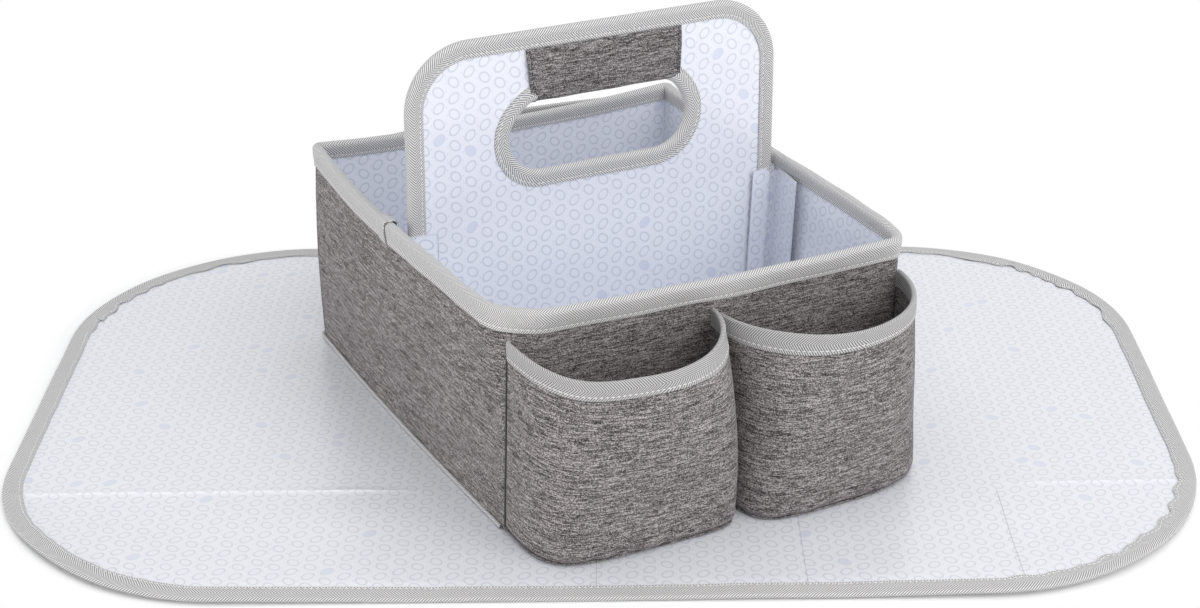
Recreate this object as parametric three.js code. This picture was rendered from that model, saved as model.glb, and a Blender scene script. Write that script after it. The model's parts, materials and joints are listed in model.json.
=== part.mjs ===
// Soft-walled diaper caddy with a handled divider, standing on its fold-up changing mat.
// Millimetres, +Z up. The caddy's pockets face -Y, and the origin is on the floor below the caddy's middle.

import * as THREE from 'three';

// Caddy walls
const caddyWidth = 270; // left to right, over the side panels
const caddyDepth = 300; // front to back, over the wall panels
const wallHeight = 141; // foot of the walls to their cut top edge
const footInnerRadius = 2; // front corners, inside, at the foot
const leftRimInnerRadius = 32; // front left corner, inside, at the rim: the cloth bellies out here
const rightRimInnerRadius = 3; // front right corner, inside, at the rim
const cornerFlare = 2.5; // power by which the front corners open towards the rim

// Cloth, board and tape
const fabricThick = 0.8;
const boardThick = 1.5;
const laminateThick = 0.5;
const tapeThick = 0.6;
const layerGap = 0.2; // between layers that lie on each other
const seamGap = 0.3; // between pieces that meet edge to edge
const rimOuterLeg = 10.7; // tape showing outside the walls
const rimInnerLeg = 7; // tape showing inside the walls
const pipingDiameter = 2.4;

// Divider with the carrying grip
const dividerRise = 114; // above the walls' top edge
const dividerCornerRadius = 33;
const dividerBoardThick = 3;
const dividerTapeLeg = 10;
const handHoleWidth = 130;
const handHoleHeight = 49;
const gripBarHeight = 45; // divider's top edge to the hand hole
const handHoleShift = 2.5; // right of the middle
const holeTapeLeg = 7;
const gripWrapLeftMargin = 12.5; // the hand hole's ends to the wrap's sides
const gripWrapRightMargin = 7.5;
const gripFabricThick = 0.9;
const tabThick = 1;
const tabWallLeg = 30;
const tabDividerLeg = 16;

// Front pockets
const pocketDrop = 25; // walls' top edge down to the pockets' mouths
const pocketDepth = 60;
const pocketTipRise = 6; // rise of the mouths at the caddy's front corners
const pocketMouthSquareness = 2.6; // powers of the oval that the pocket follows in plan
const pocketFootSquareness = 4.4;
const pocketTuck = 1.5; // how far the pocket's foot draws in
const pocketTuckHeight = 14;
const pocketThick = 1;
const pocketTapeLeg = 12;
const pocketSeamOffset = 3; // the seam between the pockets, right of the middle
const pocketCornerAngle = 50; // where the pockets are sewn to the front corners, in degrees

// Back pocket for the folded mat
const backPocketDrop = 3;
const backPocketBow = 12;
const backPocketSideMargin = 3;
const backPocketTapeLeg = 10;

// Changing mat
const matLength = 746;
const matWidth = 483;
const matCornerRadius = 153;
const matTurn = -25.3; // of its long side from the caddy's front, in degrees
const matShiftX = -1.6; // mat's middle from the caddy's
const matShiftY = -20.6;
const matFoldOffset = 122; // fold lines, either side of the mat's middle
const matSheetThick = 0.4;
const matPaddingThick = 0.8;
const matBackingThick = 0.45;
const matTapeThick = 0.4;
const matTapeLeg = 10;

// Facets
const cornerSteps = 5; // in an eighth of a turn
const wallRows = 6;
const pocketSteps = 22;
const pocketRows = 6;
const bowSteps = 12;
const edgeSteps = 10; // in a quarter turn
const pipingSides = 8;
const slope = 1e-3; // step for measuring a curve's direction

// Wall layers, as insets from the walls' outer face
const panelLayer = { outer: 0, inner: fabricThick };
const boardLayer = { outer: panelLayer.inner + layerGap, inner: panelLayer.inner + layerGap + boardThick };
const linerLayer = { outer: boardLayer.inner + layerGap, inner: boardLayer.inner + layerGap + laminateThick };
const wallThick = linerLayer.inner;
const tapeStand = layerGap + tapeThick;

// Heights above the foot of the walls
const boardFoot = boardLayer.inner + layerGap;
const floorTop = linerLayer.inner;
const standingFoot = floorTop + layerGap;
const tabTop = wallHeight - rimInnerLeg - seamGap;
const dividerTop = wallHeight + dividerRise;
const handHoleTop = dividerTop - gripBarHeight;
const pocketTop = wallHeight - pocketDrop;

// Mat layers, as heights above the floor
const matPaddingFoot = matBackingThick + layerGap;
const matSheetFoot = matPaddingFoot + matPaddingThick + layerGap;
const matTapeFoot = matSheetFoot + matSheetThick + layerGap;
const matTop = matTapeFoot + matTapeThick;
const matTapeStand = layerGap + matTapeThick;

const object = new THREE.Group();
const caddy = new THREE.Group();
caddy.position.z = matTop + layerGap;
const mat = new THREE.Group();
mat.position.set(matShiftX, matShiftY, 0);
mat.rotation.z = THREE.MathUtils.degToRad(matTurn);
object.add(caddy, mat);

const finishes = {
  heather: { color: 0x787371, roughness: 0.9, metalness: 0 },
  grip: { color: 0x5f5b59, roughness: 0.9, metalness: 0 },
  tape: { color: 0xbebcb7, roughness: 0.8, metalness: 0 },
  laminate: { color: 0xe2e6f3, roughness: 0.25, metalness: 0 },
  board: { color: 0xb3aa9a, roughness: 0.85, metalness: 0 },
  padding: { color: 0xf0f0ee, roughness: 0.95, metalness: 0 },
  backing: { color: 0xd9dbe2, roughness: 0.8, metalness: 0 },
};

function addPiece(group, name, geometry, finish) {
  const piece = new THREE.Mesh(geometry, new THREE.MeshStandardMaterial(finishes[finish]));
  piece.name = name;
  group.add(piece);
}

// A closed surface from its corners and triangles, turned so that its faces point out.
function closedSurface(points, triangles) {
  const normal = new THREE.Vector3();
  let volume = 0;
  for (const [a, b, c] of triangles) volume += points[a].dot(normal.crossVectors(points[b], points[c]));
  const index = triangles.flatMap(([a, b, c]) => (volume < 0 ? [a, c, b] : [a, b, c]));
  return new THREE.BufferGeometry().setFromPoints(points).setIndex(index);
}

const fourCorners = (a, b, c, d) => [[a, b, c], [a, c, d]];

// A sheet with thickness: two grids of points, front and back, joined round their edges.
function thickSheet(front, back) {
  const rows = front.length;
  const columns = front[0].length;
  const points = [...front.flat(), ...back.flat()];
  const at = (row, column) => row * columns + column;
  const behind = (row, column) => rows * columns + at(row, column);
  const triangles = [];
  for (let row = 0; row + 1 < rows; row++) {
    for (let column = 0; column + 1 < columns; column++) {
      const [r, c] = [row + 1, column + 1];
      triangles.push(...fourCorners(at(row, column), at(row, c), at(r, c), at(r, column)));
      triangles.push(...fourCorners(behind(row, column), behind(r, column), behind(r, c), behind(row, c)));
    }
    for (const [column, way] of [[0, 1], [columns - 1, -1]]) {
      const edge = [at(row, column), at(row + 1, column), behind(row + 1, column), behind(row, column)];
      triangles.push(...fourCorners(...(way > 0 ? edge : edge.reverse())));
    }
  }
  for (let column = 0; column + 1 < columns; column++) {
    for (const [row, way] of [[0, -1], [rows - 1, 1]]) {
      const edge = [at(row, column), at(row, column + 1), behind(row, column + 1), behind(row, column)];
      triangles.push(...fourCorners(...(way < 0 ? edge.reverse() : edge)));
    }
  }
  return closedSurface(points, triangles);
}

// An outline of (across, up) corners carried along stations; place gives the spot of each corner.
function carried(stations, outline, place, closed = false) {
  const corners = outline.length;
  const points = stations.flatMap((station) => outline.map(([across, up]) => place(station, across, up)));
  const triangles = [];
  const spans = closed ? stations.length : stations.length - 1;
  for (let i = 0; i < spans; i++) {
    const [near, far] = [i * corners, ((i + 1) % stations.length) * corners];
    for (let k = 0; k < corners; k++) {
      const next = (k + 1) % corners;
      triangles.push(...fourCorners(near + k, near + next, far + next, far + k));
    }
  }
  if (!closed) {
    const last = (stations.length - 1) * corners;
    const flat = outline.map(([across, up]) => new THREE.Vector2(across, up));
    for (const [a, b, c] of THREE.ShapeUtils.triangulateShape(flat, [])) {
      triangles.push([c, b, a], [last + a, last + b, last + c]);
    }
  }
  return closedSurface(points, triangles);
}

// Tape folded over an edge: legs of the given widths on both faces of a layer that runs from
// across = 0 to across = thick, with the folded edge just above up = 0.
function foldedTape(thick, outerLeg, innerLeg, tape) {
  const stand = layerGap + tape;
  return [
    [-stand, -outerLeg], [-layerGap, -outerLeg], [-layerGap, layerGap], [thick + layerGap, layerGap],
    [thick + layerGap, -innerLeg], [thick + stand, -innerLeg], [thick + stand, stand], [-stand, stand],
  ];
}

function outlineShape(points) {
  return new THREE.Shape(points.map(([x, y]) => new THREE.Vector2(x, y)));
}

function flatPlate(shape, foot, thick) {
  return new THREE.ExtrudeGeometry(shape, { depth: thick, bevelEnabled: false }).translate(0, 0, foot);
}

// A plate drawn in X and Z, standing between nearY and nearY + thick.
function uprightPlate(shape, nearY, thick) {
  return flatPlate(shape, 0, thick).rotateX(Math.PI / 2).translate(0, nearY + thick, 0);
}

function block(low, high) {
  const size = high.map((value, axis) => value - low[axis]);
  const middle = high.map((value, axis) => (value + low[axis]) / 2);
  return new THREE.BoxGeometry(...size).translate(...middle);
}

function evenly(from, to, steps) {
  return Array.from({ length: steps + 1 }, (_, i) => from + ((to - from) * i) / steps);
}

// Walls: a station gives the spot (x, y) on the outline at a height and an inset from the outer face.
function cornerRadius(side, z) {
  const rimInnerRadius = side < 0 ? leftRimInnerRadius : rightRimInnerRadius;
  const opening = (rimInnerRadius - footInnerRadius) * (z / wallHeight) ** cornerFlare;
  return wallThick + footInnerRadius + opening;
}

// A front corner's spot: 0 degrees faces sideways and 90 degrees faces forwards.
function cornerStation(side, degrees, seamShift = 0) {
  return (z, inset) => {
    const radius = cornerRadius(side, z);
    const reach = radius - inset;
    const angle = THREE.MathUtils.degToRad(degrees) + seamShift / reach;
    const x = caddyWidth / 2 - radius + reach * Math.cos(angle);
    const y = caddyDepth / 2 - radius + reach * Math.sin(angle);
    return [side * x, -y];
  };
}

const sideStation = (side, y) => (z, inset) => [side * (caddyWidth / 2 - inset), y];
const backStation = (side) => (z, inset) => [side * (caddyWidth / 2 - inset), caddyDepth / 2 - inset];

function cornerStations(side, from, to, seamShift = 0) {
  const angles = evenly(from, to, (cornerSteps * Math.abs(to - from)) / 45);
  return angles.map((degrees) => cornerStation(side, degrees, degrees === 45 ? seamShift : 0));
}

function wallLayer(stations, layer, foot) {
  const underTape = wallHeight - rimOuterLeg;
  const heights = [...evenly(foot, underTape, wallRows), wallHeight - rimInnerLeg, wallHeight];
  const row = (z, inset) => stations.map((station) => new THREE.Vector3(...station(z, inset), z));
  const face = (inset) => heights.map((z) => row(z, inset));
  return thickSheet(face(layer.outer), face(layer.inner));
}

const frontStations = [
  ...cornerStations(-1, 45, 90, seamGap / 2),
  ...cornerStations(1, 90, 45, seamGap / 2),
];

function sideStations(side, layer) {
  const backEnd = caddyDepth / 2 - layer.inner - layerGap;
  return [sideStation(side, backEnd), ...cornerStations(side, 0, 45, -seamGap / 2)];
}

function backStations(layer) {
  const reach = caddyWidth / 2 - layer.outer;
  return [-1, 1].map((side) => (z, inset) => [side * reach, caddyDepth / 2 - inset]);
}

const sides = [['left', -1], ['right', 1]];

for (const [name, layer, foot, finish] of [
  ['panel', panelLayer, 0, 'heather'],
  ['liner', linerLayer, boardFoot, 'laminate'],
]) {
  addPiece(caddy, `front_${name}`, wallLayer(frontStations, layer, foot), finish);
  addPiece(caddy, `back_${name}`, wallLayer(backStations(layer), layer, foot), finish);
  for (const [word, side] of sides) {
    addPiece(caddy, `${word}_${name}`, wallLayer(sideStations(side, layer), layer, foot), finish);
  }
}

// Boards stiffen the flat stretches, short of the rounded front corners.
const boardFaces = { outer: caddyDepth / 2 - boardLayer.outer, inner: caddyDepth / 2 - boardLayer.inner };
const boardEnd = (span, side) => span / 2 - cornerRadius(side, wallHeight);
const backBoardReach = caddyWidth / 2 - boardLayer.outer;
addPiece(caddy, 'front_board', block(
  [-boardEnd(caddyWidth, -1), -boardFaces.outer, boardFoot],
  [boardEnd(caddyWidth, 1), -boardFaces.inner, wallHeight],
), 'board');
addPiece(caddy, 'back_board', block(
  [-backBoardReach, boardFaces.inner, boardFoot],
  [backBoardReach, boardFaces.outer, wallHeight],
), 'board');
for (const [word, side] of sides) {
  const faces = [boardLayer.outer, boardLayer.inner].map((inset) => side * (caddyWidth / 2 - inset));
  addPiece(caddy, `${word}_board`, block(
    [Math.min(...faces), -boardEnd(caddyDepth, side), boardFoot],
    [Math.max(...faces), boardFaces.inner - layerGap, wallHeight],
  ), 'board');
}

// All the way round the walls, without the seams
const roundStations = [
  ...cornerStations(-1, 0, 90), ...cornerStations(1, 90, 0), backStation(1), backStation(-1),
];

// Base: cloth, board and liner inside the walls' foot
function baseOutline(inset) {
  return outlineShape(roundStations.map((station) => station(0, inset)));
}

const baseInset = panelLayer.inner + layerGap;
addPiece(caddy, 'base_panel', flatPlate(baseOutline(baseInset), 0, fabricThick), 'heather');
addPiece(caddy, 'base_board', flatPlate(baseOutline(baseInset), boardLayer.outer, boardThick), 'board');
const baseLinerOutline = baseOutline(wallThick + layerGap);
addPiece(caddy, 'base_liner', flatPlate(baseLinerOutline, boardFoot, laminateThick), 'laminate');

// Rim: one tape folded over the walls' top edge all the way round
const onWall = (station, inset, up) => {
  const z = wallHeight + up;
  return new THREE.Vector3(...station(z, inset), z);
};
const rimTape = foldedTape(wallThick, rimOuterLeg, rimInnerLeg, tapeThick);
addPiece(caddy, 'rim_binding', carried(roundStations, rimTape, onWall, true), 'tape');

// Piping round the foot of the side and back walls
const pipingRadius = pipingDiameter / 2;
const pipingLine = [
  cornerStation(-1, 0), backStation(-1), backStation(1), cornerStation(1, 0),
];
const pipingOutline = evenly(0, 2 * Math.PI, pipingSides).slice(1)
  .map((angle) => [pipingRadius * Math.cos(angle), pipingRadius * Math.sin(angle)]);
const onFoot = (station, across, up) => {
  const [x, y] = station(0, across - pipingRadius - layerGap);
  return new THREE.Vector3(x, y, pipingRadius + up);
};
addPiece(caddy, 'base_piping', carried(pipingLine, pipingOutline, onFoot), 'tape');

// Divider: a board covered on both faces, from the base to well above the rim
const dividerReach = caddyWidth / 2 - wallThick - tapeStand - seamGap - tapeStand;
const boardHalf = dividerBoardThick / 2;
const coverNear = boardHalf + layerGap;
const dividerHalf = coverNear + laminateThick;

// A spot on the divider's edge (x, z) with the way that the edge faces
const edgeSpot = (x, z, angle) => ({ x, z, outX: Math.cos(angle), outZ: Math.sin(angle) });

function arcSpots(x, z, radius, from, to) {
  const angles = evenly(from, to, (edgeSteps * (to - from)) / (Math.PI / 2));
  return angles.map((angle) => edgeSpot(x + radius * Math.cos(angle), z + radius * Math.sin(angle), angle));
}

const cornerX = dividerReach - dividerCornerRadius;
const cornerZ = dividerTop - dividerCornerRadius;
const dividerCorners = [
  ...arcSpots(cornerX, cornerZ, dividerCornerRadius, 0, Math.PI / 2),
  ...arcSpots(-cornerX, cornerZ, dividerCornerRadius, Math.PI / 2, Math.PI),
];
const holeEndX = (handHoleWidth - handHoleHeight) / 2;
const holeEndRadius = handHoleHeight / 2;
const holeMiddle = handHoleTop - holeEndRadius;
const holeEdge = [
  ...arcSpots(handHoleShift + holeEndX, holeMiddle, holeEndRadius, -Math.PI / 2, Math.PI / 2),
  ...arcSpots(handHoleShift - holeEndX, holeMiddle, holeEndRadius, Math.PI / 2, 1.5 * Math.PI),
];

function dividerShape() {
  const corners = dividerCorners.map(({ x, z }) => [x, z]);
  const shape = outlineShape([[-dividerReach, standingFoot], [dividerReach, standingFoot], ...corners]);
  shape.holes.push(new THREE.Path(holeEdge.map(({ x, z }) => new THREE.Vector2(x, z))));
  return shape;
}

addPiece(caddy, 'divider_board', uprightPlate(dividerShape(), -boardHalf, dividerBoardThick), 'board');
addPiece(caddy, 'divider_front_cover', uprightPlate(dividerShape(), -dividerHalf, laminateThick), 'laminate');
addPiece(caddy, 'divider_back_cover', uprightPlate(dividerShape(), coverNear, laminateThick), 'laminate');

// Tape over the divider's edge, facing out, and round the hand hole, facing in
const onEdge = (towards) => (spot, across, up) => {
  const out = towards * up;
  return new THREE.Vector3(spot.x + spot.outX * out, across - dividerHalf, spot.z + spot.outZ * out);
};
const tapeEnd = tabTop + seamGap;
const tapedEdge = [
  edgeSpot(dividerReach, tapeEnd, 0), ...dividerCorners, edgeSpot(-dividerReach, tapeEnd, Math.PI),
];
const dividerTape = foldedTape(2 * dividerHalf, dividerTapeLeg, dividerTapeLeg, tapeThick);
addPiece(caddy, 'divider_edge_binding', carried(tapedEdge, dividerTape, onEdge(1)), 'tape');
const holeTape = foldedTape(2 * dividerHalf, holeTapeLeg, holeTapeLeg, tapeThick);
addPiece(caddy, 'hand_hole_binding', carried(holeEdge, holeTape, onEdge(-1), true), 'tape');

// Grip: cloth folded round the bar above the hand hole, over the hole's tape and under the edge tape
const wrapNear = dividerHalf + tapeStand + layerGap;
const wrapFar = wrapNear + gripFabricThick;
const wrapTop = dividerTop - dividerTapeLeg - seamGap;
const wrapSection = [
  [-wrapFar, -1], [wrapFar, -1], [wrapFar, 1], [wrapNear, 1],
  [wrapNear, 0], [-wrapNear, 0], [-wrapNear, 1], [-wrapFar, 1],
];

// The wrap's section has its mouth at level 1 and its fold between levels 0 and -1, which follow the hole
const onGrip = (x, across, level) => {
  const reach = holeEndRadius - tapeStand - layerGap + Math.min(level, 0) * gripFabricThick;
  const past = Math.max(Math.abs(x - handHoleShift) - holeEndX, 0);
  const fold = holeMiddle + Math.sqrt(reach ** 2 - past ** 2);
  return new THREE.Vector3(x, across, level > 0 ? wrapTop : fold);
};
const wrapLeft = handHoleShift - handHoleWidth / 2 + gripWrapLeftMargin;
const wrapRight = handHoleShift + handHoleWidth / 2 - gripWrapRightMargin;
const gripStations = evenly(wrapLeft, wrapRight, 2 * edgeSteps);
addPiece(caddy, 'grip_wrap', carried(gripStations, wrapSection, onGrip), 'grip');

// Sleeve tabs: stiff angles that hold the divider's edges to the side walls, in front and behind
for (const [word, side] of sides) {
  for (const [place, face] of [['front', -1], ['back', 1]]) {
    const wall = caddyWidth / 2 - wallThick - layerGap;
    const near = dividerHalf + layerGap;
    const angle = [
      [wall, near], [wall, near + tabWallLeg], [wall - tabThick, near + tabWallLeg],
      [wall - tabThick, near + tabThick], [wall - tabDividerLeg, near + tabThick],
      [wall - tabDividerLeg, near],
    ].map(([x, y]) => [side * x, face * y]);
    const tab = flatPlate(outlineShape(angle), standingFoot, tabTop - standingFoot);
    addPiece(caddy, `${word}_${place}_tab`, tab, 'laminate');
  }
}

// Front pockets: each panel leaves the front wall, swings out along half an oval and comes back
function frontFace(x, z) {
  const radius = cornerRadius(x, z);
  const past = Math.abs(x) - (caddyWidth / 2 - radius);
  const drawn = past > 0 ? radius - Math.sqrt(Math.max(radius ** 2 - past ** 2, 0)) : 0;
  return -(caddyDepth / 2 - drawn);
}

function mouthHeight(turn) {
  return pocketTop + pocketTipRise * Math.max(Math.cos(turn), 0) ** 3;
}

// The panel's outer line in plan at a height, for a turn from 0, at the corner, to pi, at the middle seam
function pocketLine(side, turn, z) {
  const rise = z / pocketTop;
  const power = 2 / (pocketFootSquareness + (pocketMouthSquareness - pocketFootSquareness) * rise);
  const tucked = Math.max(1 - z / pocketTuckHeight, 0) ** 2 * pocketTuck;
  const angle = THREE.MathUtils.degToRad(pocketCornerAngle);
  const cornerEnd = side * (caddyWidth / 2 - cornerRadius(side, z) * (1 - Math.cos(angle)));
  const seamEnd = pocketSeamOffset + side * (tapeStand + seamGap / 2);
  const swing = Math.sign(Math.cos(turn)) * Math.abs(Math.cos(turn)) ** power;
  const share = (1 - swing) / 2;
  const x = cornerEnd + (seamEnd - cornerEnd) * share;
  const ends = [cornerEnd, seamEnd].map((end) => frontFace(end, z));
  const out = (pocketDepth - tucked) * Math.abs(Math.sin(turn)) ** power;
  return [x, ends[0] + (ends[1] - ends[0]) * share - out];
}

function pocketSpot(side, turn, z, inset) {
  const before = Math.max(turn - slope, 0);
  const after = Math.min(turn + slope, Math.PI);
  const [x, y] = pocketLine(side, turn, z);
  const [x0, y0] = pocketLine(side, before, z);
  const [x1, y1] = pocketLine(side, after, z);
  const length = Math.hypot(x1 - x0, y1 - y0);
  const [inX, inY] = [(-side * (y0 - y1)) / length, (-side * (x1 - x0)) / length];
  const spotX = x + inX * inset;
  return new THREE.Vector3(spotX, Math.min(y + inY * inset, frontFace(spotX, z) - seamGap), z);
}

const turns = evenly(0, Math.PI, pocketSteps);

function pocketPanel(side) {
  const face = (inset) => evenly(0, 1, pocketRows).map((share) => {
    return turns.map((turn) => pocketSpot(side, turn, share * mouthHeight(turn), inset));
  });
  return thickSheet(face(0), face(pocketThick));
}

function pocketFloor(side) {
  const rim = turns.map((turn) => pocketSpot(side, turn, 0, pocketThick + layerGap));
  const along = evenly(rim.at(-1).x, rim[0].x, pocketSteps).slice(1, -1);
  const wall = along.map((x) => [x, frontFace(x, 0) - seamGap]);
  return flatPlate(outlineShape([...rim.map(({ x, y }) => [x, y]), ...wall]), 0, fabricThick);
}

for (const [word, side] of sides) {
  const onMouth = (turn, inset, up) => pocketSpot(side, turn, mouthHeight(turn) + up, inset);
  const tape = foldedTape(pocketThick, pocketTapeLeg, pocketTapeLeg, tapeThick);
  addPiece(caddy, `${word}_pocket`, pocketPanel(side), 'heather');
  addPiece(caddy, `${word}_pocket_floor`, pocketFloor(side), 'heather');
  addPiece(caddy, `${word}_pocket_binding`, carried(turns, tape, onMouth), 'tape');
}

// Back pocket: a panel that lies against the back wall at its foot and bows out at its mouth
const backPocketTop = wallHeight - backPocketDrop;
const backPocketFoot = pipingDiameter + seamGap;
const backPocketReach = caddyWidth / 2 - backPocketSideMargin;
const backPocketStand = 2 * tapeStand + layerGap;

function backPocketSpot(share, z, inset) {
  const bow = backPocketBow * (z / backPocketTop) * Math.cos((share * Math.PI) / 2) ** 2;
  const y = caddyDepth / 2 + backPocketStand + bow + fabricThick - inset;
  return new THREE.Vector3(share * backPocketReach, y, z);
}

const shares = evenly(-1, 1, bowSteps);
const backPocketFace = (inset) => evenly(backPocketFoot, backPocketTop, pocketRows).map((z) => {
  return shares.map((share) => backPocketSpot(share, z, inset));
});
addPiece(caddy, 'back_pocket', thickSheet(backPocketFace(0), backPocketFace(fabricThick)), 'heather');
const backPocketTape = foldedTape(fabricThick, backPocketTapeLeg, backPocketTapeLeg, tapeThick);
const onBackMouth = (share, inset, up) => backPocketSpot(share, backPocketTop + up, inset);
addPiece(caddy, 'back_pocket_binding', carried(shares, backPocketTape, onBackMouth), 'tape');

// Mat: a round-cornered sheet, padding and backing, parted at its two fold lines
const matStraight = matWidth / 2 - matCornerRadius; // half of the short side's straight stretch
const matEndX = matLength / 2 - matCornerRadius;

// Half the mat's length at a distance y from its middle, at an inset from its edge
function matReach(y, inset) {
  const past = Math.max(Math.abs(y) - matStraight, 0);
  return matEndX + Math.sqrt(Math.max((matCornerRadius - inset) ** 2 - past ** 2, 0));
}

const foldAngle = (cut, inset) => Math.asin((cut - matStraight) / (matCornerRadius - inset));
const flapCut = matFoldOffset + seamGap / 2;
const centreCut = matFoldOffset - seamGap / 2;

// A flap's corner spot: share 0 is at the fold line and share 1 where the long side runs straight
function flapCorner(end, side, share, inset) {
  const start = foldAngle(flapCut, inset);
  const angle = start + (Math.PI / 2 - start) * share;
  const reach = matCornerRadius - inset;
  return [end * (matEndX + reach * Math.cos(angle)), side * (matStraight + reach * Math.sin(angle))];
}

function flapShape(side, inset) {
  const right = evenly(0, 1, edgeSteps).map((share) => flapCorner(1, side, share, inset));
  const left = evenly(1, 0, edgeSteps).map((share) => flapCorner(-1, side, share, inset));
  return outlineShape([...right, ...left]);
}

// A short side's heights on the centre panel: straight in the middle and curving near the fold lines
function centreHeights(inset) {
  const curve = evenly(0, foldAngle(centreCut, inset), cornerSteps)
    .map((angle) => matStraight + (matCornerRadius - inset) * Math.sin(angle));
  return [...curve.map((y) => -y).reverse(), ...curve];
}

function centreShape(inset) {
  const heights = centreHeights(inset);
  const right = heights.map((y) => [matReach(y, inset), y]);
  return outlineShape([...right, ...right.map(([x, y]) => [-x, y]).reverse()]);
}

const matLayers = [
  ['backing', 0, matBackingThick, matTapeLeg + seamGap, 'backing'],
  ['padding', matPaddingFoot, matPaddingThick, 0, 'padding'],
  ['sheet', matSheetFoot, matSheetThick, 0, 'laminate'],
];
const flaps = [['front', -1], ['back', 1]];
for (const [name, foot, thick, inset, finish] of matLayers) {
  addPiece(mat, `mat_centre_${name}`, flatPlate(centreShape(inset), foot, thick), finish);
  for (const [word, side] of flaps) {
    addPiece(mat, `mat_${word}_${name}`, flatPlate(flapShape(side, inset), foot, thick), finish);
  }
}

// Mat tape: one leg above the sheet, one level with the backing, parted at the fold lines
const matTape = [
  [matTapeLeg, 0], [matTapeLeg, matBackingThick], [-layerGap, matBackingThick], [-layerGap, matTapeFoot],
  [matTapeLeg, matTapeFoot], [matTapeLeg, matTop], [-matTapeStand, matTop], [-matTapeStand, 0],
];
for (const [word, side] of flaps) {
  const stations = [
    ...evenly(0, 1, edgeSteps).map((share) => ({ end: 1, share })),
    ...evenly(1, 0, edgeSteps).map((share) => ({ end: -1, share })),
  ];
  const onFlap = ({ end, share }, inset, z) => new THREE.Vector3(...flapCorner(end, side, share, inset), z);
  addPiece(mat, `mat_${word}_binding`, carried(stations, matTape, onFlap), 'tape');
}
for (const [word, side] of sides) {
  const onSide = (row, inset, z) => {
    const y = centreHeights(inset)[row];
    return new THREE.Vector3(side * matReach(y, inset), y, z);
  };
  const rows = centreHeights(0).map((_, row) => row);
  addPiece(mat, `mat_${word}_binding`, carried(rows, matTape, onSide), 'tape');
}

export default object;
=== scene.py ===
import json
import math

import bpy
import numpy as np
from mathutils import Matrix, Vector


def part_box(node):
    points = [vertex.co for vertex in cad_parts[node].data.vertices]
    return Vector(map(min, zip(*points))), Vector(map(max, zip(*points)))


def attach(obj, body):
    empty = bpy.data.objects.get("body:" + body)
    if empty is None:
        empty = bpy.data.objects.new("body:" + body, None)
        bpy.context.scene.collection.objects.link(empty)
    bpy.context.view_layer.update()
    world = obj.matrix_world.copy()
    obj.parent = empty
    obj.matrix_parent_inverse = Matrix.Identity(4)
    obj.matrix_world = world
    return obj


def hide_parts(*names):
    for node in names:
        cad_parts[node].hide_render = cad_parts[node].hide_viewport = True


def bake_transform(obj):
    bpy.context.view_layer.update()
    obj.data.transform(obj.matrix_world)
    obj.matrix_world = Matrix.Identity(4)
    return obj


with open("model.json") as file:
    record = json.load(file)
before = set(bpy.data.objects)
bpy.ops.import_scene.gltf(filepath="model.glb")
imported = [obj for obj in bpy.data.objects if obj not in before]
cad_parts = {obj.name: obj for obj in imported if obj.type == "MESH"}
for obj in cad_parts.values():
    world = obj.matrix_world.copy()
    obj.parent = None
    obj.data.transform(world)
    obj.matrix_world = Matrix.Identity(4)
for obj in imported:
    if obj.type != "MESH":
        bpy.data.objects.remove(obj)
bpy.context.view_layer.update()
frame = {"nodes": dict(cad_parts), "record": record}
mm = 0.001
print("frame loaded")


# camera of the photograph
cameraView = {
    "place": (-0.6152, -1.1845, 0.70195),
    "azimuth": -27.63,
    "elevation": 25.64,
    "roll": 0.48,
    "focalPixels": 2225.64,
    "imageWidth": 1200,
    "sensor": 36,
    "clip": (0.01, 50),
}


def makeCamera(view):
    # right, up and back from azimuth and elevation, then turned about the line of sight by the roll
    azimuth, elevation, roll = (math.radians(view[key]) for key in ("azimuth", "elevation", "roll"))
    back = np.array([
        math.sin(azimuth) * math.cos(elevation),
        -math.cos(azimuth) * math.cos(elevation),
        math.sin(elevation),
    ])
    right = np.array([math.cos(azimuth), math.sin(azimuth), 0])
    up = np.cross(back, right)
    turnedRight = math.cos(roll) * right + math.sin(roll) * up
    turnedUp = math.cos(roll) * up - math.sin(roll) * right
    data = bpy.data.cameras.new("photo_camera")
    data.sensor_width = view["sensor"]
    data.lens = view["focalPixels"] * view["sensor"] / view["imageWidth"]
    data.clip_start, data.clip_end = view["clip"]
    camera = bpy.data.objects.new("photo_camera", data)
    axes = np.column_stack([turnedRight, turnedUp, back])
    camera.matrix_world = Matrix.Translation(view["place"]) @ Matrix(axes.tolist()).to_4x4()
    bpy.context.scene.collection.objects.link(camera)
    bpy.context.scene.camera = camera


makeCamera(cameraView)
print("camera set")


# formulas that several pieces share
def smooth(low, high, value):
    # 0 below low, 1 above high, an s-curve between
    share = np.clip((value - low) / (high - low), 0, 1)
    return share * share * (3 - 2 * share)


def bell(value, width):
    # 1 at zero, falling off on both sides
    return np.exp(-((value / width) ** 2))


def ripple(a, b, shortest, longest, seed, count=16):
    # sum of plane waves with seeded directions, lengths and phases, about 1 in size
    random = np.random.default_rng(seed)
    turn, phase = random.uniform(0, 2 * np.pi, (2, count))
    length = shortest * (longest / shortest) ** random.random(count)
    a, b = np.broadcast_arrays(a, b)
    across = (a[..., None] * np.cos(turn) + b[..., None] * np.sin(turn)) / length
    return np.sin(2 * np.pi * across + phase).sum(-1) / math.sqrt(count / 2)


def unit(vectors):
    return vectors / np.maximum(np.linalg.norm(vectors, axis=-1, keepdims=True), 1e-12)


def runLength(points):
    # distance walked along a row of points
    steps = np.linalg.norm(np.diff(points, axis=0), axis=-1)
    return np.concatenate([[0], np.cumsum(steps)])


def readOff(at, length, values):
    # each column of the values, read off at given distances along them
    return np.stack([np.interp(at, length, column) for column in values.T], -1)


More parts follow.
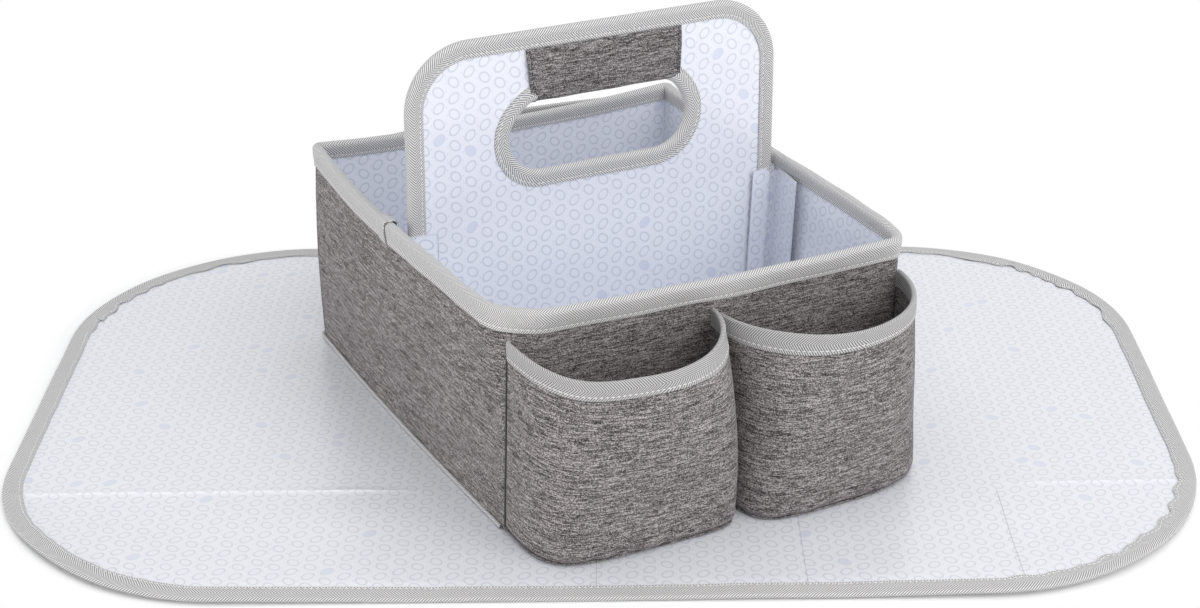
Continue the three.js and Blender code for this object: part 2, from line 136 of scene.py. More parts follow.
def coords(*values):
    # the values as coordinates, along a last axis
    return np.stack(np.broadcast_arrays(*values), -1)


def looped(grid):
    # the grid with its first column once more at its end
    return np.concatenate([grid, grid[:, :1]], 1)


# material nodes
def newFinish(name, surface):
    material = bpy.data.materials.new(name)
    material.use_nodes = True
    tree = material.node_tree
    shader = tree.nodes["Principled BSDF"]
    for key, value in surface.items():
        shader.inputs[key].default_value = value
    return material, tree, shader


def addNode(tree, kind, sockets=None, **settings):
    made = tree.nodes.new(kind)
    for key, value in settings.items():
        setattr(made, key, value)
    for key, value in (sockets or {}).items():
        if isinstance(value, bpy.types.NodeSocket):
            tree.links.new(value, made.inputs[key])
        else:
            made.inputs[key].default_value = value
    return made


def calc(tree, operation, *values):
    return addNode(tree, "ShaderNodeMath", dict(enumerate(values)), operation=operation).outputs[0]


def hypot(tree, a, b):
    squared = calc(tree, "ADD", calc(tree, "MULTIPLY", a, a), calc(tree, "MULTIPLY", b, b))
    return calc(tree, "SQRT", squared)


def alternate(tree, number):
    # -1 for even numbers, 1 for odd ones
    return calc(tree, "MULTIPLY_ADD", calc(tree, "FLOORED_MODULO", number, 2.0), 2.0, -1.0)


def weaveSpot(tree):
    # the piece's own cloth coordinates, in metres along and across the cut
    spot = addNode(tree, "ShaderNodeUVMap", uv_map="weave").outputs["UV"]
    split = addNode(tree, "ShaderNodeSeparateXYZ", {"Vector": spot})
    return split.outputs["X"], split.outputs["Y"]


def noiseAt(tree, u, v, lengthU, lengthV, depth, detail, roughness):
    spot = addNode(tree, "ShaderNodeCombineXYZ", {
        "X": calc(tree, "DIVIDE", u, lengthU), "Y": calc(tree, "DIVIDE", v, lengthV), "Z": depth,
    }).outputs[0]
    sockets = {"Vector": spot, "Scale": 1.0, "Detail": detail, "Roughness": roughness}
    return addNode(tree, "ShaderNodeTexNoise", sockets).outputs["Fac"]


def chanceAt(tree, column, row):
    # a random number for each cell of a lattice
    cell = addNode(tree, "ShaderNodeCombineXYZ", {"X": column, "Y": row}).outputs[0]
    return addNode(tree, "ShaderNodeTexWhiteNoise", {"Vector": cell}, noise_dimensions="2D").outputs["Value"]


def mixed(tree, share, low, high):
    made = addNode(tree, "ShaderNodeMix", {"Factor": share}, data_type="RGBA")
    for socket, value in (("A", low), ("B", high)):
        target = next(s for s in made.inputs if s.name == socket and s.type == "RGBA")
        if isinstance(value, bpy.types.NodeSocket):
            tree.links.new(value, target)
        else:
            target.default_value = (*value, 1)
    return next(s for s in made.outputs if s.type == "RGBA")


def stepped(tree, value, low, high):
    # s-curve from 0 at low to 1 at high
    sockets = {"Value": value, "From Min": low, "From Max": high, "To Min": 0.0, "To Max": 1.0}
    return addNode(tree, "ShaderNodeMapRange", sockets, interpolation_type="SMOOTHSTEP").outputs[0]


def faded(tree, value, low, high):
    # s-curve from 1 at low to 0 at high
    return calc(tree, "SUBTRACT", 1.0, stepped(tree, value, low, high))


def ramp(tree, value, places, colours):
    made = addNode(tree, "ShaderNodeValToRGB", {"Fac": value})
    while len(made.color_ramp.elements) < len(places):
        made.color_ramp.elements.new(0.5)
    for element, place, colour in zip(made.color_ramp.elements, places, colours):
        element.position = place
        element.color = (*colour, 1)
    return made.outputs["Color"]


def bumped(tree, shader, height, bump, before=None):
    distance, strength = bump
    sockets = {"Height": height, "Distance": distance, "Strength": strength}
    if before is not None:
        sockets["Normal"] = before
    normal = addNode(tree, "ShaderNodeBump", sockets).outputs["Normal"]
    tree.links.new(normal, shader.inputs["Normal"])
    return normal


# heathered cloth: a fine plain weave of mottled yarns with darker runs along the rows; each noise here and below
# is given by its lengths along and across, its depth, detail and roughness, each bump by distance and strength
heather = {
    "thread": (0.6 * mm, 0.42 * mm),
    "stagger": 0.37,
    "slub": (11 * mm, 0.32, 0.0, 2.0, 0.6),
    "warp": (0.5 * mm, 5 * mm, 7.0, 2.0, 0.6),
    "patch": (60 * mm, 11 * mm, 4.0, 2.0, 0.5),
    "yarnSteps": (0.3, 0.7),
    "shares": (0.46, 0.37, 0.07, 0.10),
    "stops": (0.2, 0.5, 0.82),
    "wall": ((0.02, 0.0175, 0.0175), (0.168, 0.15, 0.149), (0.56, 0.52, 0.517)),
    "grip": ((0.017, 0.015, 0.015), (0.146, 0.134, 0.133), (0.50, 0.472, 0.467)),
    "bump": (0.35 * mm, 0.5),
    "surface": {"Roughness": 0.92, "Specular IOR Level": 0.2, "Sheen Weight": 0.08, "Sheen Roughness": 0.5},
}


def heatherFinish(name, tones):
    # a tone for each thread crossing, for stretches of weft and of warp yarn and a broad drift, added up
    material, tree, shader = newFinish(name, heather["surface"])
    u, v = weaveSpot(tree)
    lengthU, lengthV = heather["thread"]
    row = calc(tree, "FLOOR", calc(tree, "DIVIDE", v, lengthV))
    stagger = calc(tree, "MULTIPLY_ADD", row, heather["stagger"], calc(tree, "DIVIDE", u, lengthU))
    speck = chanceAt(tree, calc(tree, "FLOOR", stagger), row)
    slub = stepped(tree, noiseAt(tree, u, row, *heather["slub"]), *heather["yarnSteps"])  # its own run in each row
    warp = stepped(tree, noiseAt(tree, u, v, *heather["warp"]), *heather["yarnSteps"])
    patch = noiseAt(tree, u, v, *heather["patch"])
    tone = 0.0
    for value, share in zip((speck, slub, warp, patch), heather["shares"]):
        tone = calc(tree, "MULTIPLY_ADD", value, share, tone)
    tree.links.new(ramp(tree, tone, heather["stops"], tones), shader.inputs["Base Color"])
    bumped(tree, shader, tone, heather["bump"])
    return material


# herringbone tape: twill ribs that turn about at each column
herringbone = {
    "rib": 1.8 * mm,
    "column": 6.5 * mm,
    "yarn": (1.4 * mm, 0.5 * mm, 2.0, 2.0, 0.6),
    "ribShare": 0.75,
    "yarnShare": 0.35,
    "steps": (0.15, 0.85),
    "edge": ((0.80, 0.79, 0.785), (0.20, 0.197, 0.197)),
    # pocket: the same tape with darker tones, painted shade for the pocket mouths' tape
    "pocket": ((0.62, 0.61, 0.61), (0.145, 0.142, 0.142)),
    "bump": (0.22 * mm, 0.7),
    "surface": {"Roughness": 0.75, "Specular IOR Level": 0.3, "Sheen Weight": 0.1},
}


def tapeFinish(name, tones):
    # a sine of the slanted distance makes the ribs; they and a fine yarn noise shade the tape
    material, tree, shader = newFinish(name, herringbone["surface"])
    u, v = weaveSpot(tree)
    column = calc(tree, "FLOOR", calc(tree, "DIVIDE", v, herringbone["column"]))
    slant = calc(tree, "MULTIPLY_ADD", alternate(tree, column), v, u)
    wave = calc(tree, "SINE", calc(tree, "MULTIPLY", slant, 2 * math.pi / herringbone["rib"]))
    rib = calc(tree, "MULTIPLY_ADD", wave, 0.5, 0.5)
    yarn = calc(tree, "MULTIPLY", noiseAt(tree, u, v, *herringbone["yarn"]), herringbone["yarnShare"])
    shade = calc(tree, "MULTIPLY_ADD", rib, herringbone["ribShare"], yarn)
    light, dark = tones
    colour = mixed(tree, stepped(tree, shade, *herringbone["steps"]), dark, light)
    tree.links.new(colour, shader.inputs["Base Color"])
    bumped(tree, shader, rib, herringbone["bump"])
    return material


# wipe-clean laminate with a small all-over print of tilted ovals and dots; line, dot and fill say where the edge
# of each starts and ends to fade
laminate = {
    "pitch": 10.4 * mm,
    "long": 0.37,
    "short": 0.27,
    "line": (0.102, 0.238),
    "dot": (0.042, 0.078),
    "fill": (0.95, 1.05),
    "filledShare": 0.03,
    "creases": (26 * mm, 26 * mm, 1.0, 3.0, 0.45),
    "creaseBump": (1.6 * mm, 0.35),
    "grain": (1.6 * mm, 1.6 * mm, 3.0, 2.0, 0.5),
    "grainBump": (0.08 * mm, 0.5),
    "caddy": ((0.84, 0.861, 0.935), (0.67, 0.697, 0.795), (0.705, 0.745, 0.88)),
    "caddySurface": {"Roughness": 0.24, "Specular IOR Level": 0.5, "Coat Weight": 1.0, "Coat Roughness": 0.12},
    "mat": ((0.77, 0.782, 0.82), (0.635, 0.65, 0.71), (0.665, 0.693, 0.782)),
    "matSurface": {"Roughness": 0.34, "Specular IOR Level": 0.5, "Coat Weight": 0.6, "Coat Roughness": 0.26},
}


def laminateFinish(name, tones, surface):
    # half-drop lattice: each cell holds an oval turned one way or the other, dots sit at the cells' corners
    material, tree, shader = newFinish(name, surface)
    u, v = weaveSpot(tree)
    across = calc(tree, "DIVIDE", u, laminate["pitch"])
    column = calc(tree, "FLOOR", across)
    odd = calc(tree, "FLOORED_MODULO", column, 2.0)
    up = calc(tree, "MULTIPLY_ADD", odd, 0.5, calc(tree, "DIVIDE", v, laminate["pitch"]))
    row = calc(tree, "FLOOR", up)
    x = calc(tree, "SUBTRACT", calc(tree, "SUBTRACT", across, column), 0.5)
    y = calc(tree, "SUBTRACT", calc(tree, "SUBTRACT", up, row), 0.5)
    leaning = calc(tree, "MULTIPLY", alternate(tree, row), y)
    long = calc(tree, "DIVIDE", calc(tree, "ADD", x, leaning), laminate["long"] * math.sqrt(2))
    short = calc(tree, "DIVIDE", calc(tree, "SUBTRACT", x, leaning), laminate["short"] * math.sqrt(2))
    oval = hypot(tree, long, short)
    outline = faded(tree, calc(tree, "ABSOLUTE", calc(tree, "SUBTRACT", oval, 1.0)), *laminate["line"])
    cornerX = calc(tree, "SUBTRACT", 0.5, calc(tree, "ABSOLUTE", x))
    dot = faded(tree, hypot(tree, cornerX, y), *laminate["dot"])
    chosen = calc(tree, "LESS_THAN", chanceAt(tree, column, row), laminate["filledShare"])
    inside = faded(tree, oval, *laminate["fill"])
    ground, line, filled = tones
    printed = mixed(tree, calc(tree, "MAXIMUM", outline, dot), ground, line)
    colour = mixed(tree, calc(tree, "MULTIPLY", chosen, inside), printed, filled)
    tree.links.new(colour, shader.inputs["Base Color"])
    creased = bumped(tree, shader, noiseAt(tree, u, v, *laminate["creases"]), laminate["creaseBump"])
    bumped(tree, shader, noiseAt(tree, u, v, *laminate["grain"]), laminate["grainBump"], creased)
    return material


plain = {"detail": 3.0, "steps": (0.3, 0.7), "bump": (0.1 * mm, 0.5)}


def plainFinish(name, light, dark, grain, roughness):
    # two close tones mottled by a fine noise, with the same noise as bump
    material, tree, shader = newFinish(name, {"Roughness": roughness})
    spot = addNode(tree, "ShaderNodeTexCoord").outputs["Object"]
    sockets = {"Vector": spot, "Scale": 1 / grain, "Detail": plain["detail"]}
    speck = addNode(tree, "ShaderNodeTexNoise", sockets).outputs["Fac"]
    colour = mixed(tree, stepped(tree, speck, *plain["steps"]), dark, light)
    tree.links.new(colour, shader.inputs["Base Color"])
    bumped(tree, shader, speck, plain["bump"])
    return material


# a plain finish has a light and a dark tone, a grain and a roughness
finishes = {
    "heather_fabric": heatherFinish("heather_cloth", heather["wall"]),
    "grip_fabric": heatherFinish("grip_cloth", heather["grip"]),
    "binding_tape": tapeFinish("herringbone_tape", herringbone["edge"]),
    "printed_laminate": laminateFinish("printed_laminate", laminate["caddy"], laminate["caddySurface"]),
    "stiffener_board": plainFinish("grey_board", (0.45, 0.41, 0.33), (0.36, 0.33, 0.27), 1.5 * mm, 0.85),
    "mat_padding": plainFinish("white_wadding", (0.87, 0.87, 0.86), (0.76, 0.76, 0.75), 2.5 * mm, 0.95),
    "mat_backing": plainFinish("coated_backing", (0.71, 0.72, 0.77), (0.63, 0.64, 0.70), 0.9 * mm, 0.6),
}
threadTones = {
    "pale": ((0.86, 0.85, 0.83), (0.74, 0.73, 0.71)),
    "grey": ((0.42, 0.43, 0.47), (0.34, 0.35, 0.39)),
    # dark: the grip's stitch thread, also used for the pockets' seam cords, which are painted shade
    "dark": ((0.07, 0.065, 0.065), (0.04, 0.038, 0.038)),
}
threads = {word: plainFinish(f"{word}_thread", *tones, 0.4 * mm, 0.7) for word, tones in threadTones.items()}
# the pocket mouths' tape: the edge tape's pattern in darker tones, painted shade
shadedPocketTape = tapeFinish("pocket_tape", herringbone["pocket"])
matLaminate = laminateFinish("mat_laminate", laminate["mat"], laminate["matSurface"])
sealedEdge = plainFinish("sealed_edge", (0.72, 0.745, 0.83), (0.64, 0.665, 0.76), 2.0 * mm, 0.3)
print("finishes made")


# meshes: grids of points, tubes and stitches
def addPiece(name, mesh, finish):
    mesh.shade_smooth()
    mesh.materials.append(finish)
    piece = bpy.data.objects.new(name, mesh)
    bpy.context.scene.collection.objects.link(piece)
    return piece


def gridPiece(name, points, uv, slot, thick=0.0, wrap=(False, False), flip=False, finish=None):
    # one quad for each cell of the grid; wrap joins the last row or column to the first
    rows, columns = points.shape[:2]
    row, column = np.meshgrid(
        np.arange(rows if wrap[0] else rows - 1),
        np.arange(columns if wrap[1] else columns - 1),
        indexing="ij",
    )
    row, column = row.ravel(), column.ravel()
    cells = [(row, column), (row, column + 1), (row + 1, column + 1), (row + 1, column)]
    faces = np.stack([(r % rows) * columns + c % columns for r, c in cells], 1)
    spots = np.stack([uv[r, c] for r, c in cells], 1)
    if flip:
        faces, spots = faces[:, ::-1], spots[:, ::-1]
    mesh = bpy.data.meshes.new(name)
    mesh.from_pydata(points.reshape(-1, 3), [], faces.tolist())
    mesh.uv_layers.new(name="weave").data.foreach_set("uv", spots.astype(np.float32).ravel())
    piece = addPiece(name, mesh, finish or finishes[slot])
    if thick:
        edgeOfLoop = np.zeros(len(mesh.loops), np.int32)
        mesh.loops.foreach_get("edge_index", edgeOfLoop)
        cut = np.bincount(edgeOfLoop, minlength=len(mesh.edges)) == 1
        mesh.edges.foreach_set("use_edge_sharp", cut)  # cut edges stay crisp
        solid = piece.modifiers.new("cloth_thickness", "SOLIDIFY")
        solid.thickness, solid.offset = thick, -1
        solid.use_quality_normals = True
    return piece


tubeSides = 8


def tube(name, path, radius, aside, slot, finish):
    # a ring carried along the path, its axes square to the path and to a given way
    ahead = unit(np.gradient(path, axis=0))
    across = unit(np.cross(ahead, aside))
    over = np.cross(across, ahead)
    turn = np.linspace(0, 2 * np.pi, tubeSides, endpoint=False)[None, :, None]
    points = path[:, None] + radius * (across[:, None] * np.cos(turn) + over[:, None] * np.sin(turn))
    uv = coords(runLength(path)[:, None], np.linspace(0, 2 * np.pi * radius, tubeSides + 1)[None])
    return gridPiece(name, points, uv, slot, 0.0, (False, True), True, finish)


stitch = {
    "pitch": 3.4 * mm,
    "size": (2.4 * mm, 0.8 * mm, 0.6 * mm),
    "rings": (0.25, 0.5, 0.75),
    "sides": 6,
    "aim": 0.3 * mm,
    "sink": 0.2 * mm,
    "outward": 1 * mm,
}


def stitchRow(name, line, out, colour="pale", scale=1.0):
    # small spindles laid end to end along a line: rings of radius sin(angle), poles at both tips; out is the way
    # they face, one for all or one for each spot of the line
    length = runLength(line)
    count = max(int(length[-1] / (stitch["pitch"] * scale)), 2)
    middle = (np.arange(count) + 0.5) * length[-1] / count
    centre = readOff(middle, length, line)
    ahead = unit(readOff(middle + stitch["aim"], length, line) - readOff(middle - stitch["aim"], length, line))
    normal = readOff(middle, length, np.broadcast_to(out, line.shape))
    normal = unit(normal - ahead * (normal * ahead).sum(-1, keepdims=True))
    axes = np.stack([ahead, np.cross(ahead, normal), normal], 1)
    sides = stitch["sides"]
    angle = np.array(stitch["rings"])[:, None] * np.pi
    turn = np.arange(sides) * 2 * np.pi / sides
    rings = coords(-np.cos(angle), np.sin(angle) * np.cos(turn), np.sin(angle) * np.sin(turn))
    shape = np.vstack([[[-1, 0, 0]], rings.reshape(-1, 3), [[1, 0, 0]]]) * np.array(stitch["size"]) * scale / 2
    points = centre[:, None] + np.einsum("vk,nkd->nvd", shape, axes)
    here = np.arange(sides)
    after = (here + 1) % sides
    last = len(shape) - 1
    tips = np.vstack([
        np.stack([0 * here, 1 + after, 1 + here], 1),
        np.stack([0 * here + last, last - sides + here, last - sides + after], 1),
    ])
    bands = np.vstack([
        np.stack([first + here, first + after, first + sides + after, first + sides + here], 1)
        for first in (1, 1 + sides)
    ])
    step = len(shape) * np.arange(count)[:, None, None]
    faces = (tips + step).reshape(-1, 3).tolist() + (bands + step).reshape(-1, 4).tolist()
    mesh = bpy.data.meshes.new(name)
    mesh.from_pydata(points.reshape(-1, 3), [], faces)
    return addPiece(name, mesh, threads[colour])


def onCaddy(piece, *nodes):
    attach(piece, "caddy")
    if nodes:
        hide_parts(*nodes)


# walls of the caddy, as a rounded outline that changes with height
leftX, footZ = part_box("left_panel")[0].x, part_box("left_panel")[0].z
rightX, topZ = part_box("right_panel")[1].x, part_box("right_panel")[1].z
frontY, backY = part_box("front_panel")[0].y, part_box("back_panel")[1].y
walls = {
    "thick": 3.2 * mm,
    "frontFoot": 5.2 * mm,
    "leftRim": 35.2 * mm,
    "rightRim": 11 * mm,
    "back": 4.6 * mm,
    "backWrap": 5 * mm,
    "flare": 2.5,
    "step": 1.5 * mm,
    "rows": 40,
    "innerFoot": 2.7 * mm,
    "seamGap": 0.25 * mm,
    "seamDip": 0.8 * mm,
    "seamWidth": 2.2 * mm,
    "underRim": (8 * mm, 16 * mm),
    "waviness": 0.3 * mm,
    "ripple": (40 * mm, 160 * mm, 11),
    "cornerCalm": 14 * mm,
    "layers": (  # name, node, drawn in at both ends, inset, thickness, slot
        ("cloth", "panel", 0.0, 0.0, 0.8 * mm, "heather_fabric"),
        ("board", "board", 8 * mm, 1.2 * mm, 1.2 * mm, "stiffener_board"),
        ("liner", "liner", 0.0, 3.2 * mm, 0.5 * mm, "printed_laminate"),
    ),
}
depth, width = backY - frontY, rightX - leftX
around = np.cumsum([0, depth, width, depth, width])  # back left corner, then left, front, right and back walls


def riseTo(top, z, most=1.0):
    # 0 at the foot, 1 at the top
    return np.clip((z - footZ) / (top - footZ), 0, most)


def sharpSpot(along, ends, low, high):
    # a spot on a rectangle's outline, from its back left corner down the left side and on round
    x = np.interp(along % ends[-1], ends, [low[0], low[0], high[0], high[0], low[0]])
    y = np.interp(along % ends[-1], ends, [high[1], low[1], low[1], high[1], high[1]])
    return x, y


def rounded(x, y, low, high, radius, inset):
    # the sharp outline's spot, drawn to the nearest point of the outline shrunk by the corner's radius
    coreX = np.clip(x, low[0] + radius, high[0] - radius)
    coreY = np.clip(y, low[1] + radius, high[1] - radius)
    reach = (radius - inset) / np.hypot(x - coreX, y - coreY)
    return coreX + (x - coreX) * reach, coreY + (y - coreY) * reach


def frontRadius(x, rise):
    # a front corner's radius, which grows from the foot to the rim
    rimRadius = np.where(x < 0, walls["leftRim"], walls["rightRim"])
    return walls["frontFoot"] + (rimRadius - walls["frontFoot"]) * rise ** walls["flare"]


def wallSpot(along, z, inset):
    # a spot on the walls' outline, its corners rounded, moved inwards by the inset
    low, high = (leftX, frontY), (rightX, backY)
    x, y = sharpSpot(along, around, low, high)
    radius = np.where(y < 0, frontRadius(x, riseTo(topZ, z)), walls["back"])
    return coords(*rounded(x, y, low, high, radius, inset), z)


# how far the soft walls give; a foot is the share of the give that is left at the foot
slump = {
    "leftBack": 1.6 * mm,
    "leftBelly": 2.2 * mm,
    "leftMiddle": 6.5 * mm,
    "leftFoot": 0.4,
    "rightFront": 6.0 * mm,
    "rightMiddle": 2.5 * mm,
    "rightBack": 2.0 * mm,
    "rightFoot": 0.35,
    "rightFrom": 20 * mm,
    "frontBulge": 3.0 * mm,
    "frontSag": 3.2 * mm,
    "frontSagTo": 60 * mm,
    "backRise": 2.2 * mm,
    "backBulge": -2.5 * mm,
    "backSag": 4.5 * mm,
    "backPocketClear": (4 * mm, 2 * mm),
    "reach": 30 * mm,
    "tallest": 1.1,
}


def rightShare(x, rise):
    # how much of the right wall's give a spot takes
    return (slump["rightFoot"] + (1 - slump["rightFoot"]) * rise) * smooth(slump["rightFrom"], rightX, x)


def settle(points):
    # how the soft walls stand: left, right and front bellied out, the back left and front right corners
    # drawn out, the front rim a little low on its right and the back rim low in its middle
    x, y, z = (points[..., axis] for axis in range(3))
    rise = riseTo(topZ, z, slump["tallest"])
    midY = np.clip(1 - (y / backY) ** 2, 0, 1)
    midX = np.clip(1 - (x / rightX) ** 2, 0, 1)
    nearLeft = smooth(slump["reach"], 0, x - leftX)
    nearFront = smooth(slump["reach"], 0, y - frontY)
    nearBack = smooth(slump["reach"], 0, backY - y)
    towardsBack = smooth(frontY, backY, y)
    leftBack = slump["leftBack"] + slump["leftBelly"] * np.sin(np.pi * np.minimum(rise, 1))
    leftRise = slump["leftFoot"] + (1 - slump["leftFoot"]) * rise
    leftOut = leftBack * towardsBack + slump["leftMiddle"] * midY * leftRise
    rightEnds = slump["rightFront"] * (1 - towardsBack) + slump["rightBack"] * towardsBack
    rightOut = rightEnds + slump["rightMiddle"] * midY
    moved = points.copy()
    moved[..., 0] += rightOut * rightShare(x, rise) - leftOut * nearLeft
    moved[..., 1] -= slump["frontBulge"] * nearFront * midX * rise ** 2
    moved[..., 1] += slump["backBulge"] * nearBack * midX * rise ** 2
    moved[..., 2] += slump["backRise"] * nearBack * rise ** 3
    onWall = smooth(*slump["backPocketClear"], y - backY)  # the pocket behind keeps its height
    moved[..., 2] -= slump["backSag"] * nearBack * onWall * midX * rise ** 3
    moved[..., 2] -= slump["frontSag"] * nearFront * smooth(leftX, slump["frontSagTo"], x) * rise ** 3
    return moved


def wallGive(along, z):
    # gentle unevenness of the cloth, none at the corners; every layer and the rim tape share it
    walked = along % around[-1]
    fromCorner = np.abs(walked[..., None] - around).min(-1)
    return walls["waviness"] * ripple(walked, z, *walls["ripple"]) * smooth(0, walls["cornerCalm"], fromCorner)


def wallPiece(name, start, end, inset, thick, slot):
    # rows go up the wall and columns along it; the cloth's seams at both ends are drawn in
    outer = inset <= 0
    z = np.linspace(footZ + (0 if outer else walls["innerFoot"]), topZ, walls["rows"])[:, None]
    count = int((end - start) / walls["step"])
    along = np.linspace(start + walls["seamGap"], end - walls["seamGap"], count)[None]
    fromSeam = np.minimum(along - start, end - along)
    dip = walls["seamDip"] * bell(fromSeam, walls["seamWidth"]) * outer * smooth(*walls["underRim"], topZ - z)
    points = settle(wallSpot(along, z, inset + dip + wallGive(along, z)))
    return gridPiece(name, points, coords(along, z), slot, thick, flip=slot == "printed_laminate")


for number, word in enumerate(("left", "front", "right", "back")):
    for layer, node, drawnIn, inset, thick, slot in walls["layers"]:
        start, end = around[number] + drawnIn, around[number + 1] - drawnIn
        if layer == "cloth":  # the back cloth turns the corner
            start, end = start + walls["backWrap"] * (word == "left"), end + walls["backWrap"] * (word == "back")
        piece = wallPiece(f"{word}_wall_{layer}", start, end, inset, thick, slot)
        onCaddy(piece, f"{word}_{node}")
print("walls made")


# tape folded over an edge; a tape's legs are the outer and the inner one
groove = {"dip": 0.35 * mm, "edge": 2.2 * mm, "width": 0.7 * mm, "hem": (0.2 * mm, 0.8 * mm), "shoulder": 0.9}


def foldedProfile(thick, tape, count=14):
    # (inset, up): up the outer leg, over a half ellipse and down the inner leg; the legs swell by roll towards
    # the top and dip at their stitch lines and hems
    outerLeg, innerLeg = tape["legs"]
    half = thick / 2 + tape["stand"] + tape["roll"]
    shoulder = tape["top"] - half * groove["shoulder"]
    outerUp = np.linspace(-outerLeg, shoulder, count, endpoint=False)
    innerUp = np.linspace(shoulder, -innerLeg, count + 1)[1:]
    turn = np.linspace(np.pi, 0, count)
    hemDip, hemWidth = groove["hem"]

    def swell(up, leg):
        dip = groove["dip"] * bell(up + leg - groove["edge"], groove["width"]) + hemDip * bell(up + leg, hemWidth)
        return tape["stand"] + tape["roll"] * smooth(-leg, shoulder, up) - dip

    inset = np.concatenate([
        -swell(outerUp, outerLeg), thick / 2 + half * np.cos(turn), thick + swell(innerUp, innerLeg)
    ])
    up = np.concatenate([outerUp, shoulder + (tape["top"] - shoulder) * np.sin(turn), innerUp])
    return inset, up


def tapeBand(name, node, points, walked, profile, thick, closed=False, flip=False, finish=None):
    # tape carried along an edge; its cloth coordinates are the ways walked along the edge and across the profile
    uv = coords(walked[:, None], runLength(coords(*profile))[None])
    onCaddy(gridPiece(name, points, uv, "binding_tape", thick, (closed, False), flip, finish), node)


rim = {
    "legs": (12.6 * mm, 10 * mm),
    "stand": 0.9 * mm,
    "roll": 1.0 * mm,
    "top": 1.4 * mm,
    "thick": 0.6 * mm,
    "joint": 137 * mm,
    "overlap": 7 * mm,
    "lapStart": 8 * mm,
    "lapDown": 2 * mm,
    "lift": 1.2 * mm,
    "unevenness": 0.1 * mm,
    "ripple": (25 * mm, 120 * mm, 5),
}


def makeRim():
    # the folded profile carried round the walls' top edge; its last stretch laps over the start
    inset, up = foldedProfile(walls["thick"], rim)
    length = around[-1] + rim["overlap"]
    along = rim["joint"] + np.linspace(0, length, int(length / walls["step"]))[:, None]
    lap = smooth(around[-1] - rim["lapStart"], around[-1], along - rim["joint"]) * rim["lift"]
    outward = np.where(inset < walls["thick"] / 2, -1, 1)[None]
    uneven = rim["unevenness"] * ripple(along, 0 * along, *rim["ripple"])
    z = topZ + up[None] * (1 + uneven / rim["legs"][0]) + lap * (up[None] > -rim["lapDown"])
    points = settle(wallSpot(along, z, inset[None] + outward * lap + wallGive(along, z)))
    along = along[:, 0]
    tapeBand("rim_tape", "rim_binding", points, along, (inset, up), rim["thick"], flip=True)
    faces = (-rim["stand"], walls["thick"] + rim["stand"])
    for word, leg, face, sign in zip(("outer", "inner"), rim["legs"], faces, (1, -1)):
        height = np.full(len(along), topZ - leg + groove["edge"])
        face = face + wallGive(along, height)
        line = settle(wallSpot(along, height, face + sign * stitch["sink"]))
        further = settle(wallSpot(along, height, face - sign * stitch["outward"]))
        onCaddy(stitchRow(f"rim_stitches_{word}", line, unit(further - line)))


makeRim()
print("rim made")


# base: cloth outside, laminate inside, and the piping round the foot
base = {
    "grid": 60,
    "middle": 0.004,
    "thick": 0.5 * mm,
    "dome": 0.18 * mm,
    "ripple": (50 * mm, 200 * mm, 21),
    "layers": (  # name, node, slot, inset, height, whether it faces up
        ("base_cloth", "base_panel", "heather_fabric", 1.2 * mm, 0.1 * mm, False),
        ("base_lining", "base_liner", "printed_laminate", 3.6 * mm, 3.2 * mm, True),
    ),
}
piping = {"radius": 1.25 * mm, "sides": 12, "out": 0.8, "gap": 6 * mm, "steps": 520}


def makeBase():
    # a ring of spots on the foot outline drawn in towards the middle, the lining gently uneven
    along = np.linspace(0, around[-1], 4 * base["grid"], endpoint=False)
    share = np.linspace(1, base["middle"], base["grid"])[:, None]
    for name, node, slot, inset, up, inner in base["layers"]:
        ring = settle(wallSpot(along, np.full(len(along), footZ), inset))
        x, y = ring[:, 0] * share, ring[:, 1] * share
        dome = base["dome"] * (1 - share) * ripple(x, y, *base["ripple"]) * inner
        points = coords(x, y, footZ + up + dome)
        piece = gridPiece(name, points, looped(points)[..., :2], slot, base["thick"], (False, True), inner)
        onCaddy(piece, node)


def makePiping():
    # a ring carried along the foot from the front right corner round the back to the front left one
    turn = np.linspace(0, 2 * np.pi, piping["sides"], endpoint=False)[None]
    start, end = around[2] + piping["gap"], around[4] + around[1] - piping["gap"]
    along = np.linspace(start, end, piping["steps"])[:, None]
    inset = -piping["radius"] * (piping["out"] + np.cos(turn))
    z = footZ + piping["radius"] * (1 + np.sin(turn))
    ring = np.linspace(0, 2 * np.pi * piping["radius"], piping["sides"] + 1)[None]
    points = settle(wallSpot(along, z, inset))
    cord = gridPiece("foot_piping", points, coords(along, ring), "binding_tape", 0.0, (False, True))
    onCaddy(cord, "base_piping")


makeBase()
makePiping()
print("base made")


# divider with its hand hole and edge tapes
coverLow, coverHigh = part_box("divider_front_cover")
wrapLow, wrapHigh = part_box("grip_wrap")
divider = {
    "footCorner": 5 * mm,  # wider than what the covers stop short by
    "leftCorner": 42 * mm,
    "rightCorner": 43 * mm,
    "rightLean": 2.2 * mm,
    "leanDown": 110 * mm,
    "leanAcross": 80 * mm,
    "half": 2.2 * mm,
    "rings": 30,
    "step": 2 * mm,
    "short": 2.5 * mm,
    "core": 3.0 * mm,
    "thick": 0.5 * mm,
    "swell": 0.3 * mm,
    "waviness": 0.25 * mm,
    "ripple": (60 * mm, 200 * mm, 31),
    "calm": (12 * mm, 40 * mm),
    "stitchSink": 0.15 * mm,
    "tape": {"legs": (10 * mm, 10 * mm), "stand": 0.95 * mm, "roll": 0.4 * mm, "top": 1.2 * mm, "thick": 0.6 * mm},
}
hole = {
    "width": 130 * mm,
    "height": 49 * mm,
    "drop": 45 * mm,
    "shift": 2.5 * mm,
    "step": 1.2 * mm,
    "straight": 0.01 * mm,  # left between the round ends' quarters
    "pinch": 1.6 * mm,
    "pinchReach": 4 * mm,
    "tape": {**divider["tape"], "legs": (9.3 * mm, 9.3 * mm), "top": 1.5 * mm},
}
holeMiddle = coverHigh.z - hole["drop"] - hole["height"] / 2


